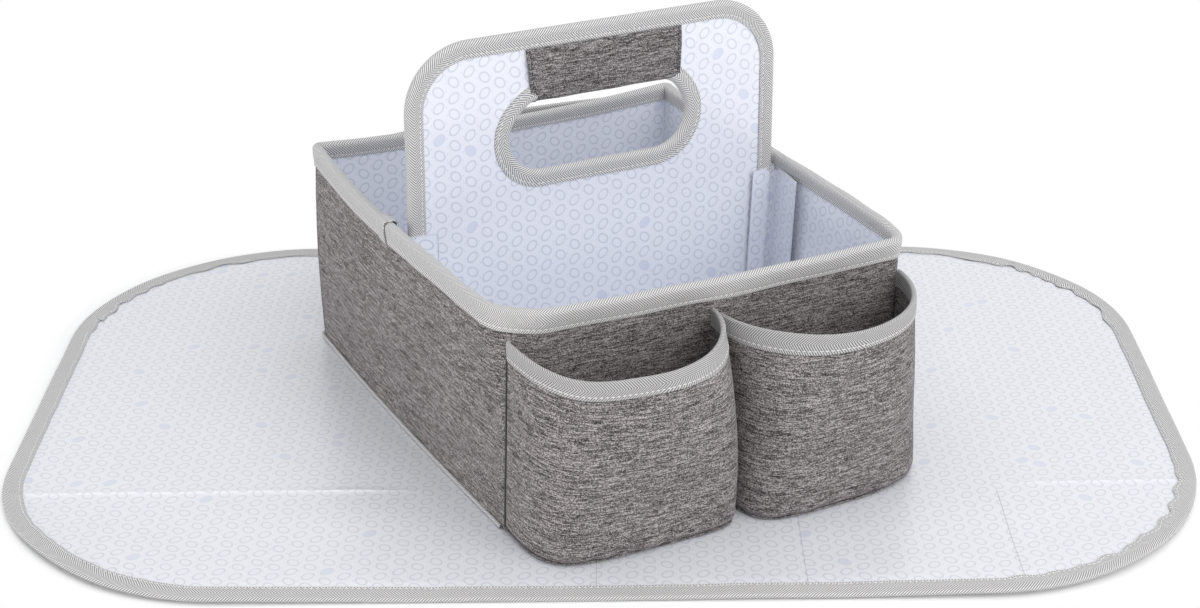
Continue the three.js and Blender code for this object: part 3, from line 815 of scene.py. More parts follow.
def roundedLoop(low, high, radii, step):
    # a rectangle in x and z with its own radius at each corner, from the bottom left, as spots with outward ways
    corners = [(low[0], low[1]), (high[0], low[1]), (high[0], high[1]), (low[0], high[1])]
    spots, ways = [], []
    for number, ((x, z), radius) in enumerate(zip(corners, radii)):
        centre = np.array([x + radius * (1 if number in (0, 3) else -1), z + radius * (1 if number < 2 else -1)])
        turn = np.linspace(0, np.pi / 2, max(int(radius * np.pi / 2 / step), 2)) + np.pi + number * np.pi / 2
        way = coords(np.cos(turn), np.sin(turn))
        spots.append(centre + radius * way)
        ways.append(way)
    spots, ways = (np.concatenate(values + [values[0][:1]]) for values in (spots, ways))
    length = runLength(spots)
    at = np.linspace(0, length[-1], int(length[-1] / step), endpoint=False)
    return readOff(at, length, spots), unit(readOff(at, length, ways))


def upright(flat, y):
    # spots given in x and z, at a depth y
    return coords(flat[..., 0], y, flat[..., 1])


def makeDivider():
    # both covers are rings between the hand hole and the outline, joined spot by spot at the same bearing
    low, high = (coverLow.x, coverLow.z), (coverHigh.x, coverHigh.z)
    radii = [divider["footCorner"], divider["footCorner"], divider["rightCorner"], divider["leftCorner"]]
    outline, outlineWay = roundedLoop(low, high, radii, divider["step"])
    leanDown = np.clip((high[1] - outline[:, 1]) / divider["leanDown"], 0, 1)
    outline[:, 0] += divider["rightLean"] * leanDown * smooth(0, divider["leanAcross"], outline[:, 0])
    middle = np.array([hole["shift"], holeMiddle])
    half = np.array([hole["width"], hole["height"]]) / 2
    opening, openingWay = roundedLoop(middle - half, middle + half, [half[1] - hole["straight"]] * 4, hole["step"])
    pastWrap = np.maximum(wrapLow.x - opening[:, 0], opening[:, 0] - wrapHigh.x)
    pinch = smooth(hole["pinchReach"], -hole["pinchReach"], pastWrap)
    opening[:, 1] += hole["pinch"] * pinch * (opening[:, 1] > holeMiddle)
    coverEdge, coverHole = outline - outlineWay * divider["short"], opening + openingWay * divider["short"]

    def bearing(spots):
        return np.arctan2(*(spots - middle).T[::-1])

    order = np.argsort(bearing(coverHole))
    matched = np.stack([
        np.interp(bearing(coverEdge), bearing(coverHole)[order], column[order], period=2 * np.pi)
        for column in coverHole.T
    ], -1)
    share = np.linspace(0, 1, divider["rings"])[:, None, None]
    flat = matched[None] * (1 - share) + coverEdge[None] * share
    x, z = flat[..., 0], flat[..., 1]
    fromHole = np.hypot(np.maximum(np.abs(x - middle[0]) - (half[0] - half[1]), 0), z - middle[1]) - half[1]
    out = np.maximum(divider["swell"] + divider["waviness"] * ripple(x, z, *divider["ripple"]), 0)
    for fromEdge in (x - low[0], high[0] - x, high[1] - z, fromHole):
        out = out * smooth(*divider["calm"], fromEdge)
    for word, side in (("front", -1), ("back", 1)):
        points = upright(flat, side * (divider["half"] + out))
        cover = gridPiece(
            f"divider_{word}_face", points, looped(flat), "printed_laminate", divider["thick"], (False, True), side < 0
        )
        onCaddy(cover, f"divider_{word}_cover")
    ends = flat[[0, -1]]
    core = upright(ends, -divider["core"] / 2)
    board = gridPiece(
        "divider_stiffener", core, looped(ends), "stiffener_board", divider["core"], (False, True), True
    )
    onCaddy(board, "divider_board")
    return outline, outlineWay, opening, openingWay


def edgeTape(name, node, spots, ways, closed, tape):
    # the folded profile carried along a divider edge: across is the divider's thickness, up points past the edge
    across, up = foldedProfile(2 * divider["half"], tape)
    points = upright(spots[:, None] + ways[:, None] * up[None, :, None], across - divider["half"])
    walked = runLength(np.vstack([spots, spots[:1]]) if closed else spots)
    tapeBand(name, node, points, walked, (across, up), tape["thick"], closed)
    inner = spots + ways * (groove["edge"] - tape["legs"][0])
    for word, side in (("front", -1), ("back", 1)):
        line = upright(inner, side * (divider["half"] + tape["stand"] - divider["stitchSink"]))
        onCaddy(stitchRow(f"{name}_stitches_{word}", line, (0, side, 0)))


outline, outlineWay, opening, openingWay = makeDivider()
above = outline[:, 1] > topZ - rim["legs"][1]  # the edge tape ends at the rim tape
first = np.argmax(above & ~np.roll(above, 1))
order = (first + np.arange(above.sum())) % len(above)
edgeTape("divider_edge_tape", "divider_edge_binding", outline[order], outlineWay[order], False, divider["tape"])
edgeTape("hand_hole_tape", "hand_hole_binding", opening[::-1], -openingWay[::-1], True, hole["tape"])
print("divider made")


# grip: cloth folded round the bar above the hand hole
grip = {
    "puff": 1.3 * mm,
    "puffPower": 0.7,
    "bottom": 1.0 * mm,
    "slant": 4 * mm,
    "thick": 1.0 * mm,
    "hem": 2.2 * mm,
    "hemDip": 0.5 * mm,
    "hemWidth": 0.9 * mm,
    "endPress": 0.7 * mm,
    "endReach": 6 * mm,
    "waviness": 0.35 * mm,
    "ripple": (18 * mm, 70 * mm, 41),
    "columns": 90,
    "faceRows": 24,
    "turnRows": 12,
    "stitchIn": 0.88 * mm,
    "stitchRise": 0.1 * mm,
}


def makeGrip():
    # a u-shaped profile, bellied a little, carried along the bar; both side hems are pressed flat
    x = np.linspace(wrapLow.x, wrapHigh.x, grip["columns"])[:, None]
    half, rows = wrapHigh.y, grip["faceRows"]
    bottom = coverHigh.z - hole["drop"] - grip["bottom"]
    share = np.linspace(0, 1, rows)
    face = wrapHigh.z + (bottom + half - wrapHigh.z) * share
    turn = np.linspace(0, np.pi, grip["turnRows"] + 2)[1:-1]
    z = np.concatenate([face, bottom + half - half * np.sin(turn), face[::-1]])
    belly = grip["puff"] * np.sin(np.pi * share) ** grip["puffPower"]
    y = np.concatenate([-half - belly, -half * np.cos(turn), half + belly[::-1]])
    fromEnd = np.minimum(x - wrapLow.x, wrapHigh.x - x)
    hemPress = grip["hemDip"] * bell(fromEnd - grip["hem"], grip["hemWidth"])
    press = hemPress + grip["endPress"] * smooth(grip["endReach"], 0, fromEnd)
    wave = grip["waviness"] * ripple(x, z[None], *grip["ripple"])
    slant = grip["slant"] * (wrapHigh.x - x) / (wrapHigh.x - wrapLow.x) * (wrapHigh.z - z) / (wrapHigh.z - bottom)
    points = coords(x + slant, y + np.sign(y) * (wave - press), z)
    uv = coords(x, runLength(coords(y, z))[None])
    cloth = gridPiece("grip_cloth_wrap", points, uv, "grip_fabric", grip["thick"])
    onCaddy(cloth, "grip_wrap")
    out = coords(0.0, np.sign(y), 0.0)
    out[rows:-rows, 2] = -1.0
    for word, column, inward in (("left", 1, 1), ("right", -2, -1)):
        line = points[column] + np.array([inward * grip["stitchIn"], 0, 0]) + out * grip["stitchRise"]
        onCaddy(stitchRow(f"grip_stitches_{word}", line, unit(out), "dark"))


makeGrip()
print("grip made")


# stiff tabs that hold the divider to the side walls, with sealed edges
tab = {
    "wallLeg": 30 * mm,
    "wallRows": 16,
    "wallOff": 3.5 * mm,
    "wallPower": 1.5,
    "dividerLeg": 18 * mm,
    "dividerRows": 12,
    "dividerOff": 1.6 * mm,
    "dividerPower": 2,
    "fold": 2.2 * mm,
    "foldRows": 8,
    "rows": 40,
    "thick": 0.7 * mm,
    "clear": 1.0 * mm,
    "edge": 0.35 * mm,
    "pinch": 3.5 * mm,
    "pinchWidth": 2.6 * mm,
    "pinchIn": 0.3,
}


def tabProfile():
    # an angle with a round fold: how far it stands in from the wall and out from the divider, its free edges a
    # little off what they lie on and its fold pinched
    turn = np.linspace(0, np.pi / 2, tab["foldRows"] + 2)[1:-1]
    wallLength = np.linspace(tab["wallLeg"], tab["fold"], tab["wallRows"])
    dividerLength = np.linspace(tab["fold"], tab["dividerLeg"], tab["dividerRows"])
    wallOff = tab["wallOff"] * np.linspace(1, 0, tab["wallRows"]) ** tab["wallPower"]
    dividerOff = tab["dividerOff"] * np.linspace(0, 1, tab["dividerRows"]) ** tab["dividerPower"]
    inX = np.concatenate([wallOff, tab["fold"] * (1 - np.cos(turn)), dividerLength]) + tab["clear"]
    outY = np.concatenate([wallLength, tab["fold"] * (1 - np.sin(turn)), dividerOff]) + tab["clear"]
    pinch = tab["pinch"] * bell(runLength(coords(inX, outY)) - tab["wallLeg"], tab["pinchWidth"])
    return inX - tab["pinchIn"] * pinch, outY - pinch


def makeTabs():
    # the profile carried up the wall, with a fine tube along its three free edges
    inX, outY = tabProfile()
    walked = runLength(coords(inX, outY))[None]
    for word, side in (("left", -1), ("right", 1)):
        for place, face in (("front", -1), ("back", 1)):
            low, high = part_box(f"{word}_{place}_tab")
            z = np.linspace(low.z, high.z, tab["rows"])[:, None]
            x = (high.x if side > 0 else low.x) - side * (inX + tab["thick"])
            y = (high.y if face < 0 else low.y) + face * outY
            points = settle(coords(x, y, z))
            piece = gridPiece(
                f"{word}_{place}_angle", points, coords(walked, z), "printed_laminate", tab["thick"],
                flip=side * face < 0,
            )
            onCaddy(piece, f"{word}_{place}_tab")
            path = np.concatenate([points[:, 0], points[-1, 1:-1], points[::-1, -1]])
            aside = np.array([-side, face, 0.0])
            onCaddy(tube(f"{word}_{place}_tab_edge", path, tab["edge"], aside, "printed_laminate", sealedEdge))


makeTabs()
print("tabs made")


# front pockets; a pair of values in a plan is for the mouth and for the foot
pocket = {
    "drop": 25 * mm,
    "tuck": 1.0 * mm,
    "thick": 1.0 * mm,
    "curl": 7 * mm,
    "curlRows": 12,
    "lift": 0.3 * mm,
    "rows": 60,
    "columns": 200,
    "fineTurns": 4000,
    "turnStep": 0.001,
    "slack": 0.9 * mm,
    "slackLengths": (45 * mm, 140 * mm),
    "slackSeed": 51,
    "slackLoss": 0.7,
    "pucker": 0.45 * mm,
    "puckerLengths": (9 * mm, 30 * mm),
    "puckerSeed": 55,
    "puckerUp": 5 * mm,
    "puckerHeight": 9 * mm,
    "belly": 1.0 * mm,
    "endPower": 0.8,
    "seamDip": 1.5 * mm,
    "seamWidth": 2.4 * mm,
    # radius of the dark cord along the corner seam: a painted shade line, not a real cord
    "seamShadeCord": 0.6 * mm,
    "seamColumn": 2,
    "seamUp": 4 * mm,
    "seamRows": 60,
    "stitchEnd": 2,
    "floorInset": 2.0 * mm,
    "floorGap": 0.4 * mm,
    "floorUp": 0.9 * mm,
    "floorThick": 0.6 * mm,
    "floorRows": 24,
    "tape": {"legs": (10.7 * mm, 10.7 * mm), "stand": 0.8 * mm, "roll": 0.3 * mm, "top": 0.9 * mm, "thick": 0.6 * mm},
}
pocketShapes = {
    "left": {
        "side": -1,
        "cornerRise": 6.9 * mm,
        "seamRise": 4.1 * mm,
        "plan": {
            "corner": (-130.7 * mm, -136.2 * mm),
            "cornerY": (-141 * mm, -147 * mm),
            "seam": (2.2 * mm, -2.0 * mm),
            "depth": (61.3 * mm, 58.9 * mm),
            "cornerPower": (3.0, 4.1),
            "seamPower": (1.9, 7.0),
        },
    },
    "right": {
        "side": 1,
        "cornerRise": 0.0,
        "seamRise": 0.2 * mm,
        "plan": {
            "corner": (138.6 * mm, 138.5 * mm),
            "cornerY": (-146 * mm, -147 * mm),
            "seam": (6.1 * mm, -1.0 * mm),
            "depth": (63.6 * mm, 65.5 * mm),
            "cornerPower": (2.0, 2.6),
            "seamPower": (1.8, 5.3),
        },
    },
}
mouthZ = topZ - pocket["drop"]


def frontFace(x, z):
    # the settled front wall's outer face: bellied out in the middle, falling back round the corners
    rise = riseTo(topZ, z)
    radius = frontRadius(x, rise)
    pushed = slump["rightFront"] * rightShare(x, rise)
    past = np.maximum(np.abs(x - pushed) - (rightX - radius), 0)
    bulge = slump["frontBulge"] * np.clip(1 - (x / rightX) ** 2, 0, 1) * rise ** 2
    return frontY - bulge + radius - np.sqrt(np.maximum(radius ** 2 - past ** 2, 0))


def mouthHeight(shape, turn):
    # level, with a rise towards the corner and one towards the middle seam
    corner, seam = np.maximum(np.cos(turn), 0) ** 3, np.maximum(-np.cos(turn), 0) ** 3
    return mouthZ + shape["cornerRise"] * corner + shape["seamRise"] * seam


def pocketLine(shape, turn, z):
    # half an oval in plan, from the corner at turn 0 to the middle seam at turn pi, with a power for each half
    rise = riseTo(mouthZ, z)
    plan = {key: foot + (mouth - foot) * rise for key, (mouth, foot) in shape["plan"].items()}
    power = 2 / np.where(np.cos(turn) > 0, plan["cornerPower"], plan["seamPower"])
    along = (1 - np.sign(np.cos(turn)) * np.abs(np.cos(turn)) ** power) / 2
    x = plan["corner"] + (plan["seam"] - plan["corner"]) * along
    seamY = frontFace(plan["seam"], z) + pocket["tuck"]
    y = plan["cornerY"] + (seamY - plan["cornerY"]) * along - plan["depth"] * np.abs(np.sin(turn)) ** power
    return coords(x, y)


def evenTurns(shape, heights):
    # turns spaced evenly along the pocket's line at each height, and the line's length half way up
    turn = np.linspace(0, np.pi, pocket["fineTurns"])
    walked = [runLength(pocketLine(shape, turn, z)) for z in heights]
    turns = [np.interp(np.linspace(0, line[-1], pocket["columns"]), line, turn) for line in walked]
    return np.stack(turns), walked[len(heights) // 2][-1]


def pocketSpot(shape, turn, z, inset):
    # the line's spot moved inwards square to the line, but never into the front wall
    ahead = pocketLine(shape, np.minimum(turn + pocket["turnStep"], np.pi), z)
    behind = pocketLine(shape, np.maximum(turn - pocket["turnStep"], 0), z)
    way = unit(ahead - behind) * shape["side"]
    inward = coords(way[..., 1], -way[..., 0])
    flat = pocketLine(shape, turn, z) + inward * np.broadcast_to(inset, way.shape[:-1])[..., None]
    y = np.minimum(flat[..., 1], frontFace(flat[..., 0], z) + pocket["tuck"])
    return coords(flat[..., 0], y, z)


def pocketGive(shape, turn, walked, z):
    # bellied out half way up, slack folds, and small puckers where the foot is gathered
    side = shape["side"]
    height = riseTo(mouthHeight(shape, turn), z)
    folds = ripple(walked, z, *pocket["slackLengths"], pocket["slackSeed"] + side)
    slack = pocket["slack"] * folds * (1 - pocket["slackLoss"] * height)
    gathers = ripple(walked, 0 * walked, *pocket["puckerLengths"], pocket["puckerSeed"] + side)
    pucker = pocket["pucker"] * gathers * bell(z - footZ - pocket["puckerUp"], pocket["puckerHeight"])
    belly = -pocket["belly"] * np.sin(np.pi * height)
    sewn = pocket["seamDip"] * bell(walked, pocket["seamWidth"])
    return (slack + pucker + belly) * np.sin(turn) ** pocket["endPower"] + sewn


def makePocket(word, shape):
    # rows climb from the curled-in foot to the mouth, columns follow the line in plan
    side = shape["side"]
    curl = np.linspace(0, np.pi / 2, pocket["curlRows"])[:, None]
    curlIn = pocket["curl"] * (1 - np.sin(curl))
    curlZ = footZ + pocket["lift"] + pocket["curl"] * (1 - np.cos(curl))
    rise = np.linspace(0, 1, pocket["rows"])[1:, None]
    heights = np.concatenate([curlZ, curlZ[-1] + (mouthZ - curlZ[-1]) * rise])[:, 0]
    turn, length = evenTurns(shape, heights)
    walked = np.linspace(0, length, pocket["columns"])
    upper = curlZ[-1] + (mouthHeight(shape, turn[len(curl):]) - curlZ[-1]) * rise
    z = np.concatenate([curlZ + 0 * walked, upper])
    inset = np.concatenate([curlIn + 0 * walked, 0 * upper])
    points = pocketSpot(shape, turn, z, inset + pocketGive(shape, turn, walked[None], z))
    up = runLength(points[:, pocket["columns"] // 2])[:, None]
    cloth = gridPiece(
        f"{word}_pocket_cloth", points, coords(walked[None], up), "heather_fabric", pocket["thick"], flip=side > 0
    )
    onCaddy(cloth, f"{word}_pocket")
    makePocketTape(word, shape, turn[-1], walked)

    # a dark cord laid along the pocket's seam at the wall's corner: painted shade standing in for the shadow in the
    # gap where the pocket meets the wall
    seamZ = np.linspace(
        footZ + pocket["seamUp"], mouthHeight(shape, 0.0) - pocket["tape"]["legs"][0], pocket["seamRows"]
    )
    seam = pocketSpot(shape, evenTurns(shape, seamZ)[0][:, pocket["seamColumn"]], seamZ, 0.0)
    aside = np.array([side, -1.0, 0.0])
    onCaddy(tube(f"{word}_pocket_seam_shade_cord", seam, pocket["seamShadeCord"], aside, "heather_fabric", threads["dark"]))

    ring = pocketSpot(shape, turn[0], np.full(pocket["columns"], footZ), pocket["floorInset"])
    wallY = frontFace(ring[:, 0], footZ) - pocket["floorGap"]
    share = np.linspace(0, 1, pocket["floorRows"])[:, None]
    y = ring[:, 1] * (1 - share) + wallY * share
    floorPoints = coords(ring[:, 0], y, footZ + pocket["floorUp"])
    floor = gridPiece(
        f"{word}_pocket_bottom", floorPoints, floorPoints[..., :2], "heather_fabric", pocket["floorThick"],
        flip=side < 0,
    )
    onCaddy(floor, f"{word}_pocket_floor")


def makePocketTape(word, shape, turn, walked):
    # the folded profile carried along the mouth, with its row of stitches
    tape = pocket["tape"]
    across, up = foldedProfile(pocket["thick"], tape)
    turn = np.clip(turn, pocket["turnStep"], np.pi - pocket["turnStep"])
    z = mouthHeight(shape, turn)[:, None] + up
    give = pocketGive(shape, turn[None], walked[None], z.T).T
    spots = pocketSpot(shape, turn[:, None], z, across + give)
    tapeBand(
        f"{word}_pocket_tape", f"{word}_pocket_binding", spots, walked, (across, up), tape["thick"],
        flip=shape["side"] < 0, finish=shadedPocketTape,
    )
    height = mouthHeight(shape, turn) - tape["legs"][0] + groove["edge"]
    inset = -tape["stand"] + stitch["sink"] + pocketGive(shape, turn, walked, height)
    line = pocketSpot(shape, turn, height, inset)
    further = pocketSpot(shape, turn, height, inset - stitch["outward"])
    kept = slice(pocket["stitchEnd"], -pocket["stitchEnd"])
    onCaddy(stitchRow(f"{word}_pocket_stitches", line[kept], unit(further - line)[kept]))


for word, shape in pocketShapes.items():
    makePocket(word, shape)
print("pockets made")


# flat pocket on the back for the folded mat
backLow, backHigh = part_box("back_pocket")
backPocket = {
    "mouthDrop": 2.2 * mm,
    "bow": 12 * mm,
    "stand": 1.8 * mm,
    "thick": 0.8 * mm,
    "tallest": 1.05,
    "slack": 0.8 * mm,
    "ripple": (50 * mm, 150 * mm, 71),
    "sidePress": 1.2 * mm,
    "sideReach": 4 * mm,
    "columns": 160,
    "rows": 50,
    "tape": {**pocket["tape"], "legs": (10 * mm, 10 * mm)},
}
backMouthZ = backHigh.z - backPocket["mouthDrop"]


def backSpot(share, z, inset):
    # lies on the wall at its foot and sides, bows out towards the middle of its mouth
    x, fromSide = share * backHigh.x, np.cos(share * np.pi / 2)
    bow = backPocket["bow"] * riseTo(backMouthZ, z, backPocket["tallest"]) * fromSide ** 2
    slack = backPocket["slack"] * ripple(x, z, *backPocket["ripple"]) * fromSide
    y = backY + backPocket["stand"] + bow + backPocket["thick"] - inset + slack
    return settle(coords(x, y, z))


def makeBackPocket():
    # columns run from side to side, rows from the foot to the mouth
    share = np.linspace(-1, 1, backPocket["columns"])
    x, tape = share * backHigh.x, backPocket["tape"]
    z = np.linspace(backLow.z, backMouthZ, backPocket["rows"])[:, None]
    press = backPocket["sidePress"] * smooth(backPocket["sideReach"], 0, backHigh.x * (1 - np.abs(share)))
    points = backSpot(share[None], z, press)
    cloth = gridPiece(
        "back_pocket_cloth", points, coords(x[None], z), "heather_fabric", backPocket["thick"], flip=True
    )
    onCaddy(cloth, "back_pocket")
    across, up = foldedProfile(backPocket["thick"], tape)
    spots = backSpot(share[:, None], backMouthZ + up[None], across[None])
    tapeBand("back_pocket_tape", "back_pocket_binding", spots, x, (across, up), tape["thick"])
    height = np.full(len(share), backMouthZ - tape["legs"][0] + groove["edge"])
    line = backSpot(share, height, -tape["stand"] + stitch["sink"])
    onCaddy(stitchRow("back_pocket_stitches", line, (0, 1, 0)))


makeBackPocket()
print("back pocket made")


# changing mat: laminate, wadding and backing in three panels, with tape round the edge
mat = {
    "length": 746 * mm,
    "width": 483 * mm,
    "corner": 153 * mm,
    "turn": -25.8,
    "middle": (-3.1 * mm, -23.4 * mm),
    "taper": 0.07,
    "taperFrom": (-280 * mm, -360 * mm),
    "fold": 122 * mm,
    "foldTurn": -25.3,
    "foldShift": 3.17 * mm,
    "shear": 0.03,
    "bend": 6 * mm,
    "bendRows": 9,
    "centreRows": 90,
    "cornerRows": 70,
    "rowGap": 0.5 * mm,
    "areaRows": 2000,
    "sheetTop": 2.4 * mm,
    "edgeDrop": 0.35 * mm,
    "dropReach": (17.5 * mm, 12.8 * mm),
}
matLayers = (  # name, what it rests on, inset, top, thickness, slot, how much its edge drops, columns
    ("sheet", ("padding",), 0.0, mat["sheetTop"], 0.4 * mm, "printed_laminate", mat["edgeDrop"], 260),
    ("padding", ("backing",), 0.5 * mm, 1.8 * mm, 1.0 * mm, "mat_padding", mat["edgeDrop"], 130),
    ("backing", (), 4 * mm, 0.5 * mm, 0.4 * mm, "mat_backing", 0.0, 130),
)
matLie = {  # how the mat lies on the floor round the caddy
    "pocketReach": 60 * mm,
    "free": (8 * mm, 70 * mm),
    "wrinkle": (0.3 * mm, 0.25 * mm),
    "wrinkleRipple": (60 * mm, 260 * mm, 81),
    "edge": (0.35 * mm, 0.25 * mm),
    "edgeRipple": (90 * mm, 260 * mm, 83),
    "edgeReach": 70 * mm,
    "corner": 2.2 * mm,
    "cornersAt": ((-330 * mm, 120 * mm), (300 * mm, 150 * mm)),
    "cornersFront": (-120 * mm, -200 * mm),
    "crease": 1.1 * mm,
    "creaseWidth": 2.4 * mm,
    "backCrease": 0.12,
}
matStraight = mat["width"] / 2 - mat["corner"]
matEnd = mat["length"] / 2 - mat["corner"]


def matPlace(x, y, z):
    # mat coordinates to the frame: flaps narrower at the left end, folds drawn onto their axes, then sheared,
    # turned and moved
    turn = math.radians(mat["turn"])
    past = np.maximum(np.abs(y) - mat["fold"], 0)
    flap = mat["width"] / 2 - mat["fold"]
    drawn = mat["foldShift"] + math.tan(math.radians(mat["foldTurn"] - mat["turn"])) * x
    y = y - np.sign(y) * past * mat["taper"] * smooth(*mat["taperFrom"], x)
    y = y + drawn * np.clip((flap - past) / (flap - mat["bend"]), 0, 1)
    x = x + mat["shear"] * y
    return coords(
        mat["middle"][0] + x * math.cos(turn) - y * math.sin(turn),
        mat["middle"][1] + x * math.sin(turn) + y * math.cos(turn),
        z,
    )


def matFromEdge(x, y):
    # distance in from the rounded outline
    pastX, pastY = np.maximum(np.abs(x) - matEnd, 0), np.maximum(np.abs(y) - matStraight, 0)
    return mat["corner"] - np.hypot(pastX, pastY)


def matLift(x, y):
    # soft wrinkles and a lifted edge outside the caddy's footprint, and a shallow crease along both folds
    spot = matPlace(x, y, 0.0)
    inFront = frontY - matLie["pocketReach"] - spot[..., 1]
    outside = np.maximum(np.abs(spot[..., 0]) - rightX, np.maximum(spot[..., 1] - backY, inFront))
    waves = matLie["wrinkle"][0] + matLie["wrinkle"][1] * ripple(x, y, *matLie["wrinkleRipple"])
    edge = matLie["edge"][0] + matLie["edge"][1] * ripple(x, y, *matLie["edgeRipple"])
    corners = sum(bell(x - place, spread) for place, spread in matLie["cornersAt"])
    edge = edge + matLie["corner"] * corners * smooth(*matLie["cornersFront"], y)
    edge = edge * smooth(matLie["edgeReach"], 0, matFromEdge(x, y))
    fromFold = np.abs(np.abs(y) - mat["fold"])
    crease = matLie["crease"] * np.exp(-fromFold / matLie["creaseWidth"])
    crease = crease * np.where(y > 0, matLie["backCrease"], 1.0)
    return smooth(*matLie["free"], outside) * np.maximum(waves + edge + crease, 0)


def matReach(y, inset):
    # half the mat's length at y
    past = np.maximum(np.abs(y) - matStraight, 0)
    return matEnd + np.sqrt(np.maximum((mat["corner"] - inset) ** 2 - past ** 2, 0))


def onMat(piece, word, *nodes):
    # the centre's pieces are attached to the centre; a flap's pieces are baked where they lie in the frame
    if word in ("front", "back"):
        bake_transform(piece)
    else:
        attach(piece, "mat_centre")
    if nodes:
        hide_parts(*nodes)


def matRows(word, inset):
    # close together over a flap's bend, then by equal turns of the corner
    if word == "centre":
        return np.linspace(-mat["fold"], mat["fold"], mat["centreRows"])
    start = math.asin((mat["fold"] - matStraight) / (mat["corner"] - inset))
    near = mat["fold"] + np.linspace(0, mat["bend"], mat["bendRows"])
    rest = matStraight + (mat["corner"] - inset) * np.sin(np.linspace(start, np.pi / 2, mat["cornerRows"]))
    rows = np.concatenate([near, rest[rest > near[-1] + mat["rowGap"]]])
    return rows if word == "back" else -rows[::-1]


def makeMat():
    # rows across the mat's width, each row as long as the outline lets it be
    for word in ("centre", "front", "back"):
        for layer, below, inset, top, thick, slot, drop, columns in matLayers:
            rows = matRows(word, inset)
            y = rows[:, None]
            x = np.linspace(-1, 1, columns)[None] * matReach(y, inset)
            z = top + matLift(x, y) - drop * smooth(*mat["dropReach"], matFromEdge(x, y))
            finish = matLaminate if layer == "sheet" else None
            piece = gridPiece(
                f"mat_{word}_{layer}_cloth", matPlace(x, y, z), coords(x, y), slot, thick, finish=finish
            )
            onMat(piece, word, f"mat_{word}_{layer}")


makeMat()
print("mat panels made")


# the mat's tape and its quilting
matTape = {
    "leg": 11.6 * mm,
    "half": 1.5 * mm,
    "thick": 0.45 * mm,
    "round": 0.8 * mm,
    "foot": 0.05 * mm,
    "hem": (0.35 * mm, 1.0 * mm),
    "step": 2.2 * mm,
    "rows": (8, 11, 14),
    "fineSteps": 8001,
    "waviness": 1.1 * mm,
    "ripple": (16 * mm, 34 * mm, 91),
    "puff": 0.25 * mm,
    "straightShare": 0.12,
    "curveReach": 25 * mm,
    "calmShare": 0.9,
    "calmX": (100 * mm, -100 * mm),
    "calmY": (50 * mm, -50 * mm),
    "stitchRise": 0.05 * mm,
}
quilting = {"lines": (-5 * mm, 117 * mm, 243 * mm), "rise": 0.1 * mm, "scale": 0.55, "steps": 60}
matCorners = np.cumsum([0, mat["width"], mat["length"], mat["width"], mat["length"]])


def matEdge(along, inset):
    # the mat's outline, rounded as the walls' outline is
    high = np.array([mat["length"], mat["width"]]) / 2
    return rounded(*sharpSpot(along, matCorners, -high, high), -high, high, mat["corner"], inset)


def matTapeProfile():
    # inset, height and share of the top leg: under the mat, round its edge and back over the top
    leg, half, foot = matTape["leg"], matTape["half"], matTape["foot"]
    underRows, turnRows, overRows = matTape["rows"]
    under, over = np.linspace(leg, 0, underRows)[:-1], np.linspace(0, leg, overRows)[1:]
    turn = np.linspace(-np.pi / 2, np.pi / 2, turnRows)
    hemDip, hemWidth = matTape["hem"]
    dip = groove["dip"] * bell(over - leg + groove["edge"], groove["width"]) + hemDip * bell(over - leg, hemWidth)
    inset = np.concatenate([under, -matTape["round"] * np.cos(turn), over])
    z = np.concatenate([0 * under + foot, half + (half - foot) * np.sin(turn), 2 * half - dip])
    topShare = np.concatenate([0 * under, 0 * turn, np.linspace(0, 1, len(over))])
    return inset, z, topShare


def makeMatTape():
    # the profile carried round the outline, cut at the folds, its top leg wavy where the edge curves
    fine = np.linspace(0, matCorners[-1], matTape["fineSteps"])
    cuts = fine[np.nonzero(np.diff(np.sign(np.abs(matEdge(fine, 0.0)[1]) - mat["fold"])))[0]]
    cuts = np.concatenate([cuts, [cuts[0] + matCorners[-1]]])
    inset, z, topShare = matTapeProfile()
    across = runLength(coords(inset, z))[None]
    for word, start, end in zip(("left", "front", "right", "back"), cuts[:-1], cuts[1:]):
        along = np.linspace(start, end, int((end - start) / matTape["step"]))[:, None]
        edgeX, edgeY = matEdge(along, 0.0)
        curved = smooth(0, matTape["curveReach"], np.abs(edgeY) - matStraight)
        curved = curved * smooth(0, matTape["curveReach"], np.abs(edgeX) - matEnd)
        calm = smooth(*matTape["calmX"], edgeX) * smooth(*matTape["calmY"], edgeY)  # the front left corner lies smooth
        curved = curved * (1 - matTape["calmShare"] * calm)
        wave = ripple(along, 0 * along, *matTape["ripple"])
        wave = wave * (matTape["straightShare"] + (1 - matTape["straightShare"]) * curved)
        x, y = matEdge(along, inset + matTape["waviness"] * wave * topShare)
        points = matPlace(x, y, z + matLift(x, y) + matTape["puff"] * np.abs(wave) * topShare)
        walked = runLength(matPlace(edgeX[:, 0], edgeY[:, 0], 0.0))[:, None]
        band = gridPiece(
            f"mat_{word}_tape", points, coords(walked, across), "binding_tape", matTape["thick"], flip=True
        )
        onMat(band, word, f"mat_{word}_binding")
        x, y = matEdge(along[:, 0], matTape["leg"] - groove["edge"] + matTape["waviness"] * wave[:, 0])
        line = matPlace(x, y, 2 * matTape["half"] + matTape["stitchRise"] + matLift(x, y))
        onMat(stitchRow(f"mat_{word}_stitches", line, (0, 0, 1)), word)


def makeQuilting():
    # fine grey stitch lines across the front flap, from the fold to the tape
    past = mat["corner"] - matTape["leg"]
    for number, x in enumerate(quilting["lines"]):
        reach = matStraight + math.sqrt(past ** 2 - max(abs(x) - matEnd, 0) ** 2)
        y = np.linspace(-mat["fold"] - mat["bend"], -reach, quilting["steps"])
        line = matPlace(x, y, mat["sheetTop"] + quilting["rise"] + matLift(x + 0 * y, y))
        row = stitchRow(f"mat_quilting_{number}", line, (0, 0, 1), "grey", quilting["scale"])
        onMat(row, "front")


makeMatTape()
makeQuilting()
print("mat tape made")


